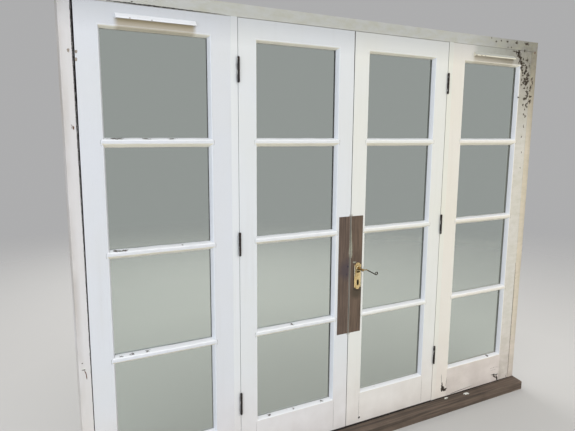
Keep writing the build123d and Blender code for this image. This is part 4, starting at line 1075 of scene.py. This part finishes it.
# %% Faults of the frame
open_joints = [crack([(-1229.5, 2040), (-1229.5, 1500), (-1228.5, 900), (-1228, 80)],
                     (5.0, 3.4, 2.0, 1.6, 1.4), 0, 3, blunt=0.1),
               crack([(-1105, 2046), (-870, 2045.5), (-640, 2045)], (5.5, 5.0, 3.5, 2.0), 0, 4),
               crack([(1228.5, 80), (1228.5, 400), (1229, 760)], (1.8, 1.6, 1.0), 0, 5)]
chips = [patch(-1255, 645.5, 7.5, 1.6, 0, 11), patch(-1258.5, 674, 2.2, 2.6, 0, 12),
         patch(-1013, 2052, 3.5, 2.4, 0, 13),
         patch(676, 108, 13, 16, 1, 15, ragged=0.3), patch(670, 128, 5, 20, 1, 16),
         patch(694, 98, 17, 8, 1, 17, lean=0.3), crack([(661, 200), (666, 140)], 2.0, 1, 18),
         crack([(706, 170), (700, 118)], 1.8, 1, 19),
         patch(1110, 99, 29, 5.5, 1, 20, lean=-0.1, ragged=0.25),
         patch(1131, 72, 6.0, 17, 1, 21, lean=0.3, ragged=0.25),
         patch(1112, 84, 20, 4.5, 1, 26, lean=-0.45, ragged=0.25),
         crack([(1060, 146), (1105, 150), (1150, 140)], 1.0, 1, 22),
         crack([(1075, 132), (1120, 134)], 0.8, 1, 23), patch(1213, 66, 3, 3, 1, 24),
         crack([(742, 62), (830, 66), (918, 72)], (4.2, 3.0, 1.4), 1, 25)]
rusty = [crack([(-1252, 643), (-1247, 628), (-1244.5, 604)], (3.0, 4.2, 3.4), 0, 31),
         patch(1253, 2038, 5, 7, 0, 33), patch(-1241, 1586, 2.6, 6.5, 0, 34, ragged=0.5),
         crack([(-1248, 1598), (-1245, 1592), (-1247, 1583)], 2.2, 0, 35)]
specks = [patch(-1244, 1860, 4.5, 6, 0, 41), patch(-1217, 1858, 5.0, 6.0, 1, 42),
          patch(-1219, 1830, 4.0, 7, 1, 43)]
# Dark specks on the lips of the ventilator hoods
specks += [patch(x, 1989.5, wide, 1.8, -17, 44 + i, proud=0.1) for i, (x, wide) in enumerate(
    [(-1026, 3), (-945, 2.4), (772, 5), (808, 6), (838, 4)])]
loose = [crack([(815, 75), (918, 79)], (2.0, 3.0, 2.0), 1, 51, proud=0.8),
         patch(1119, 101, 13, 2.2, 1, 52, proud=0.6), patch(-1254, 650, 8, 2.4, 0, 53, proud=0.5)]
for name, marks, finish in (("frame_open_joints", open_joints, shadow_dirt),
                            ("frame_chips", chips, dark_wood),
                            ("frame_rust_stains", rusty, rust),
                            ("frame_specks", specks, faint_dirt),
                            ("frame_loose_paint", loose, flake_paint)):
    make_piece(name, shells(marks), "frame", finish)

# %% [markdown]
# ## Marks of a creeper
# A creeper grew over the top right corner and was pulled off, and its suckers stayed: a spatter
# of brown marks along the head and down the right-hand side. The larger ones are placed one by
# one. The small ones are seeded along a trail through them, as spatter falls round a path.

# %% Creeper marks
LARGE_MARKS = [(894, 2090, 3, 3), (931, 2074, 5, 3), (970, 2081, 4, 3), (1020, 2081, 6, 4),
               (1094, 2081, 7, 6), (1026, 2051, 4, 2), (1053, 2053, 4, 3), (1079, 2035, 9, 3),
               (1120, 2036, 6, 7), (1138, 2001, 7, 8), (1165, 1975, 6, 4), (1154, 1951, 5, 5),
               (1190, 1949, 7, 7), (1166, 1906, 5, 4), (1182, 1888, 7, 5), (1216, 1909, 8, 3),
               (1243, 1892, 4, 10), (1250, 1869, 3, 8), (1196, 1861, 9, 7), (1185, 1837, 7, 4),
               (1208, 1819, 8, 5), (1238, 1844, 5, 11), (1240, 1792, 8, 5), (1238, 1764, 8, 8),
               (1141, 1784, 6, 4), (1185, 1743, 4, 6), (1158, 1854, 5, 4), (1165, 2044, 5, 5),
               (1195, 1995, 4, 9), (1181, 2081, 13, 5), (1213, 1964, 3, 9), (1196, 1690, 4, 5),
               (1204, 1620, 3, 5), (1192, 1560, 3, 4), (1202, 1470, 2, 4), (1200, 1380, 2, 3)]
TRAIL = np.array([(1110, 2036), (1128, 2000), (1150, 1968), (1176, 1940), (1190, 1905),
                  (1200, 1868), (1206, 1820), (1214, 1765), (1222, 1690)])
SMALL_MARKS = 62
SPREAD = 1.25
HEAD_FOOT, JAMB_EDGE = 2043, 1227
chance = np.random.default_rng(11)
t = np.sort(chance.uniform(0, len(TRAIL) - 1, SMALL_MARKS))
small = np.stack([np.interp(t, np.arange(len(TRAIL)), TRAIL[:, i]) for i in (0, 1)], 1)
small = small + chance.normal(0, (14, 18), small.shape)
small = np.concatenate([small, chance.uniform(3.0, 7.2, small.shape)], 1)
small[:, 0] = small[:, 0].clip(1090, 1262)
# Those that fall on the head are left out
sizes = LARGE_MARKS + [tuple(row) for row in small[small[:, 1] < TRAIL[0, 1]]]
# The head and the jamb stand 1 mm in front of the sash
marks = [patch(x, z, wide * SPREAD, high * SPREAD, 0 if z > HEAD_FOOT or x > JAMB_EDGE else 1,
               60 + i, ragged=0.7) for i, (x, z, wide, high) in enumerate(sizes)]
marks += [crack([(1112, 2030), (1135, 1996), (1160, 1972), (1188, 1950)], 1.6, 1, 101, wander=3),
          crack([(1190, 1945), (1212, 1905), (1224, 1890)], 2.4, 1, 102, wander=3),
          crack([(1230, 1890), (1248, 1868), (1252, 1830)], 2.8, 0, 103, wander=2)]
make_piece("creeper_marks", shells(marks), "frame", root_brown)

# %% [markdown]
# ## Joints that paint has filled
# The sidelights' sashes are fixed, so years of paint have bridged the joints round them. Without
# that paint a CAD joint reads as a black slot. A strip with a wandering edge, from the post's
# face to the sash's, fills it as the paint does.

# %% Filled joints
SASH_TOP = 2041


def filled_joint(x_post, x_sash, z_low, seed):
    """A closed strip across a joint, in mm, from Y = 0 at the post to Y = 1 at the sash.

    Both edges wander along Z by 0.4 * ripple, opposite ways, so the strip swells and thins.
    """
    z = np.linspace(z_low, SASH_TOP, 240)[:, None]
    x = np.array([x_post, x_sash, x_sash, x_post])[None, :]
    depth = np.array([-0.05, 0.95, 1.6, 1.2])[None, :]
    slack = 0.4 * ripple(z, 0 * z, 60, seed) * np.sign(x_sash - x_post)
    return np.stack([x + slack * np.array([-1, 1, 1, -1]), depth + 0 * z, z + 0 * x], -1) * MM


for post, x_post, x_sash, z_low, seed, painted_like in (
        ("left_mullion", -619.6, -622.4, 60, 90, "left_mullion"),
        ("right_mullion", 619.6, 622.4, 60, 90, "right_mullion"),
        ("right_jamb", 1228.4, 1225.6, 800, 91, "right_sidelight_outer_stile")):
    strip = filled_joint(x_post, x_sash, z_low, seed)
    make_piece(post + "_filled_joint", shells([strip]), "frame", paint_of(painted_like))

# %% [markdown]
# ## Lines of dirt round bars and hinges
# Where the end of a bar stands on a stile, and where paint stops at a hinge, dirt draws a thin
# broken line. These lines are what makes the parts look joined by hand, so they get their own
# short cracks, uneven in width.

# %% Lines round bars and hinges
for panel in PANELS:
    x_low, x_high, front, z_low, pane = (v / MM for v in pane_lines(panel))
    lines = []
    for level in range(1, PANES_HIGH):
        z = z_low + level * (pane + BAR_FIN / MM) - BAR_FIN / MM / 2
        for x, sign in ((x_low, -1), (x_high, 1)):
            arc = [(x + sign * 1.5, z + 13), (x + sign * 4.6, z + 8), (x + sign * 5.0, z - 3),
                   (x + sign * 2.0, z - 12)]
            lines.append(crack(arc, (0.5, 1.0, 0.7, 1.4), front, 110 + level, wander=0.3))
    make_piece(panel + "_bar_end_lines", shells(lines), BODY_OF[panel], dirt)
lines = []
for sign in (-1, 1):
    for centre in HINGE_CENTRES:
        beside = [(sign * 596.4, centre - 62), (sign * 597.2, centre), (sign * 596.2, centre + 58)]
        lines.append(crack(beside, (0.6, 1.2, 0.8, 1.6, 0.6), 0, 120 + len(lines), wander=1.2))
make_piece("hinge_dirt_lines", shells(lines), "frame", dirt)

# %% [markdown]
# ## On the sill
# Loose flakes lie on the sill, and a black strip along the foot of the leaves and the sashes is
# their painted shadow. The sill's top falls towards its nose, so a patch is drawn flat and
# upright, and then laid down on the slope.

# %% Flakes and dirt on the sill
SILL_TOP, SILL_FALL = 57 * MM, 9


def on_sill(grid, y):
    """A grid laid down on the sill: its height becomes Y, and Z is the sill's top at y."""
    return np.stack([grid[..., 0], grid[..., 2], SILL_TOP + y / SILL_FALL - grid[..., 1]], -1)


flakes = [on_sill(patch(x, y, wide, deep, 0, seed, proud=0.5, ragged=0.5, lean=0.5), y * MM)
          for x, y, wide, deep, seed in ((690, -16, 13, 9, 55), (836, -26, 17, 15, 56),
                                         (846, -34, 9, 7, 57))]
make_piece("paint_flakes_on_sill", shells(flakes), "frame", flake_paint)
# A painted shadow along the foot of the leaves and the sashes
line = crack([(-1222, -4.0), (-588, -4.6), (0, -4.6), (1080, -4.2), (1222, -3)],
             (4.0, 9.5, 10.5, 9.5, 6.0), 0, 58, proud=0.25, wander=0.6, blunt=0.1)
make_piece("shadow_along_the_foot", shells([on_sill(line, line[..., 2])]), "frame", painted_black_shade)

# %% [markdown]
# ## Faults of the leaves
# At the foot of each leaf the joints between stiles and rail show as thin lines. Round the lock,
# grey filler closes the gap beside the inlays, grime lies under the plate with a painted shadow
# along its left edge, and the bare wood has blue-black stains, which iron makes on hardwood. A
# black disc of painted shade lies in the old bolt hole at the right leaf's foot, and a dark strip
# runs beside the top of the gap between the leaves.

# %% Faults of the leaves
SHOULDER, MEETING = 510.5, 79.5
FOOT, RAIL_TOP = 70, 222
INLAY_FACE = -0.6
for panel, sign in (("left_leaf", -1), ("right_leaf", 1)):
    shoulder = [(sign * SHOULDER, FOOT), (sign * (SHOULDER + 0.3), 150),
                (sign * SHOULDER, RAIL_TOP)]
    meeting = [(sign * MEETING, FOOT), (sign * MEETING, RAIL_TOP)]
    make_piece(panel + "_joint_lines", shells([crack(shoulder, (1.3, 0.9, 0.7), 0, 70, wander=0.2),
                                               crack(meeting, (1.2, 0.7), 0, 71, wander=0.2)]),
               panel, dirt)
right_wedge = crack([(3.4, 1110), (5.0, 1040), (7.6, 985), (8.2, 962)], (2.0, 5.5, 11.5, 10.0),
                    INLAY_FACE, 81, blunt=0.2)
left_wedge = crack([(-3.2, 1090), (-4.0, 1040), (-4.9, 985), (-5.2, 964)], (1.4, 3.0, 6.0, 5.0),
                   INLAY_FACE, 83, blunt=0.2)
# Grime under the plate, and a dark strip left of it that is the plate's painted shadow
grime = [crack([(25.6, 930), (24.6, 868), (25.0, 803)], (2.5, 5.8, 3.6), INLAY_FACE, 88,
               blunt=0.2),
         crack([(24, 797), (44, 790.5), (70, 789)], (5.0, 8.0, 6.0), INLAY_FACE, 89, blunt=0.2)]
stains = [patch(-11, 920, 4.6, 5.4, INLAY_FACE, 85, ragged=0.15),
          patch(-17, 880, 2.6, 6, INLAY_FACE, 86), patch(-9, 846, 1.5, 3, INLAY_FACE, 87)]
for name, marks, panel, finish in (
        ("right_leaf_filler", [right_wedge, patch(27, 938, 9, 4, INLAY_FACE, 82)], "right_leaf",
         filler),
        ("left_leaf_filler", [left_wedge], "left_leaf", filler),
        ("lock_plate_grime_and_shadow", grime, "right_leaf", root_brown),
        ("left_leaf_stains", stains, "left_leaf", blue_stain)):
    make_piece(name, shells(marks), panel, finish)
# A black disc of painted shade in the old bolt hole
hole = patch(83.5, 86.5, 6.6, 6.0, 0.0, 92, proud=0.1, ragged=0.06)
make_piece("old_bolt_hole", shells([hole]), "right_leaf", painted_black_shade)
# A dark strip beside the top of the gap between the leaves
gap = crack([(-3.0, 2038), (-3.0, 1960), (-2.6, 1820)], (2.4, 1.8, 0.5), 0, 93, wander=0.1,
            blunt=0.1)
make_piece("meeting_line_top", shells([gap]), "left_leaf", dirt)

# %% [markdown]
# ## The floor
# A plain pale floor that fades into a plain grey surround, so that white joinery stands out
# against it, also through the glass. It is a disc whose shader grows transparent with the
# distance from its middle, so no edge shows.

# %% Floor
FLOOR_TONE = 0.58


def floor_disc(radius=14.0, rings=24, parts=64):
    """A flat disc: rings of points whose radius grows with the square of the ring's number."""
    reach = radius * (np.linspace(0, 1, rings) ** 2)[:, None]
    turn = np.linspace(0, 2 * np.pi, parts, endpoint=False)[None, :]
    return np.stack([reach * np.cos(turn), reach * np.sin(turn), np.zeros((rings, parts))], -1)


disc = floor_disc()
mesh = bpy.data.meshes.new("floor")
mesh.from_pydata(disc.reshape(-1, 3).tolist(), [],
                 grid_faces(disc.shape[0], disc.shape[1], close_columns=True).tolist())
floor = bpy.data.objects.new("floor", mesh)
bpy.context.scene.collection.objects.link(floor)
ground = Finish("plain_floor")
ground.tone = (FLOOR_TONE, FLOOR_TONE * 0.985, FLOOR_TONE * 0.96, 1)
mesh.materials.append(ground.done({"Roughness": 0.9, "Specular IOR Level": 0.1}))
away = ground.add("VectorMath", {0: ground.coords}, operation="LENGTH").outputs["Value"]
fade = ground.add("MixShader", {0: ground.span(away, 2.2, 7.0), 1: ground.shader.outputs[0],
                                2: ground.add("BsdfTransparent").outputs[0]})
set_inputs(ground.tree, ground.tree.nodes["Material Output"], {"Surface": fade.outputs[0]})
print("floor", len(mesh.vertices), "points")

# %% [markdown]
# ## The surround
# Daylight comes from all of the sky, and more of it from above. The camera, the mirrors and the
# glass see one plain grey instead, so that nothing but the doors is in the picture.

# %% Surround
SURROUND = 0.42
world = bpy.data.worlds.new("surround")
bpy.context.scene.world = world
world.use_nodes = True
tree = world.node_tree
tree.nodes.clear()
rays = add_node(tree, "LightPath").outputs
seen = rays["Is Camera Ray"]
for kind in ("Is Glossy Ray", "Is Transmission Ray"):
    seen = add_node(tree, "Math", {0: seen, 1: rays[kind]}, operation="MAXIMUM").outputs[0]
# The sky's strength grows with the height of the direction
direction = add_node(tree, "TexCoord").outputs["Generated"]
height = add_node(tree, "SeparateXYZ", {"Vector": direction}).outputs[2]
strength = add_node(tree, "MapRange", {"Value": height, "From Min": 0.0, "From Max": 0.9,
                                       "To Min": 0.36, "To Max": 0.95}).outputs[0]
light = add_node(tree, "Background", {"Color": (1, 1, 1, 1), "Strength": strength})
shown = add_node(tree, "Background", {"Color": (SURROUND, SURROUND, SURROUND * 1.01, 1),
                                      "Strength": 1.0})
mixed = add_node(tree, "MixShader", {0: seen, 1: light.outputs[0], 2: shown.outputs[0]})
add_node(tree, "OutputWorld", {"Surface": mixed.outputs[0]})
print("surround", SURROUND)

# %% [markdown]
# ## The lamps
# The lamps are large and soft: a cool one on the left and a warm one on the right, as shade and
# sun give, a neutral one above, and one behind that lights what shows through.

# %% Lamps
def soft_lamp(name, place, target, size, power, tint, glossy):
    """A square area lamp that looks at a target."""
    data = bpy.data.lights.new(name, "AREA")
    data.shape = "SQUARE"
    data.size = size
    data.energy = power
    data.color = tint
    lamp = bpy.data.objects.new(name, data)
    lamp.matrix_world = Matrix.Translation(place) @ (
        Vector(target) - Vector(place)).to_track_quat("-Z", "Y").to_matrix().to_4x4()
    lamp.visible_glossy = glossy
    lamp.visible_transmission = False
    bpy.context.scene.collection.objects.link(lamp)
    print("lamp", name, power, "W")


soft_lamp("cool_left", (-4.2, -3.4, 1.5), (0, 0, 0.7), 3.0, 86, (0.88, 0.94, 1.0), True)
soft_lamp("warm_right", (4.0, -3.8, 1.0), (0.3, 0, 0.6), 2.6, 66, (1.0, 0.93, 0.80), False)
soft_lamp("above", (0.0, -3.4, 4.2), (0, 0, 0.6), 2.8, 44, (1.0, 1.0, 1.0), True)
soft_lamp("behind", (0.8, 4.6, 3.4), (0, 0, 1.0), 3.0, 110, (1.0, 0.99, 0.97), False)

# %% [markdown]
# ## The camera
# The photograph was taken from the left of the doors at eye level, turned to the right and a
# little down. Its place, turns and lens were solved from the straight lines of the joinery.

# %% Camera
EYE = Vector((-1.4395, -2.0620, 1.5670))
YAW, PITCH, ROLL = math.radians(27.81), math.radians(8.95), math.radians(-0.33)
flat_right = Vector((math.cos(YAW), -math.sin(YAW), 0))
ahead = Vector((math.sin(YAW) * math.cos(PITCH), math.cos(YAW) * math.cos(PITCH),
                -math.sin(PITCH)))
level_up = flat_right.cross(ahead)
right = flat_right * math.cos(ROLL) - level_up * math.sin(ROLL)
up = flat_right * math.sin(ROLL) + level_up * math.cos(ROLL)
camera_data = bpy.data.cameras.new("camera")
camera_data.lens = 32.29
camera_data.sensor_width = 36.0
camera_data.clip_end = 60
camera = bpy.data.objects.new("camera", camera_data)
camera.matrix_world = Matrix((
    (right.x, up.x, -ahead.x, EYE.x), (right.y, up.y, -ahead.y, EYE.y),
    (right.z, up.z, -ahead.z, EYE.z), (0, 0, 0, 1)))
bpy.context.scene.collection.objects.link(camera)
bpy.context.scene.camera = camera
bpy.context.scene.view_settings.view_transform = "Standard"
print("camera", [round(v, 3) for v in camera.location])
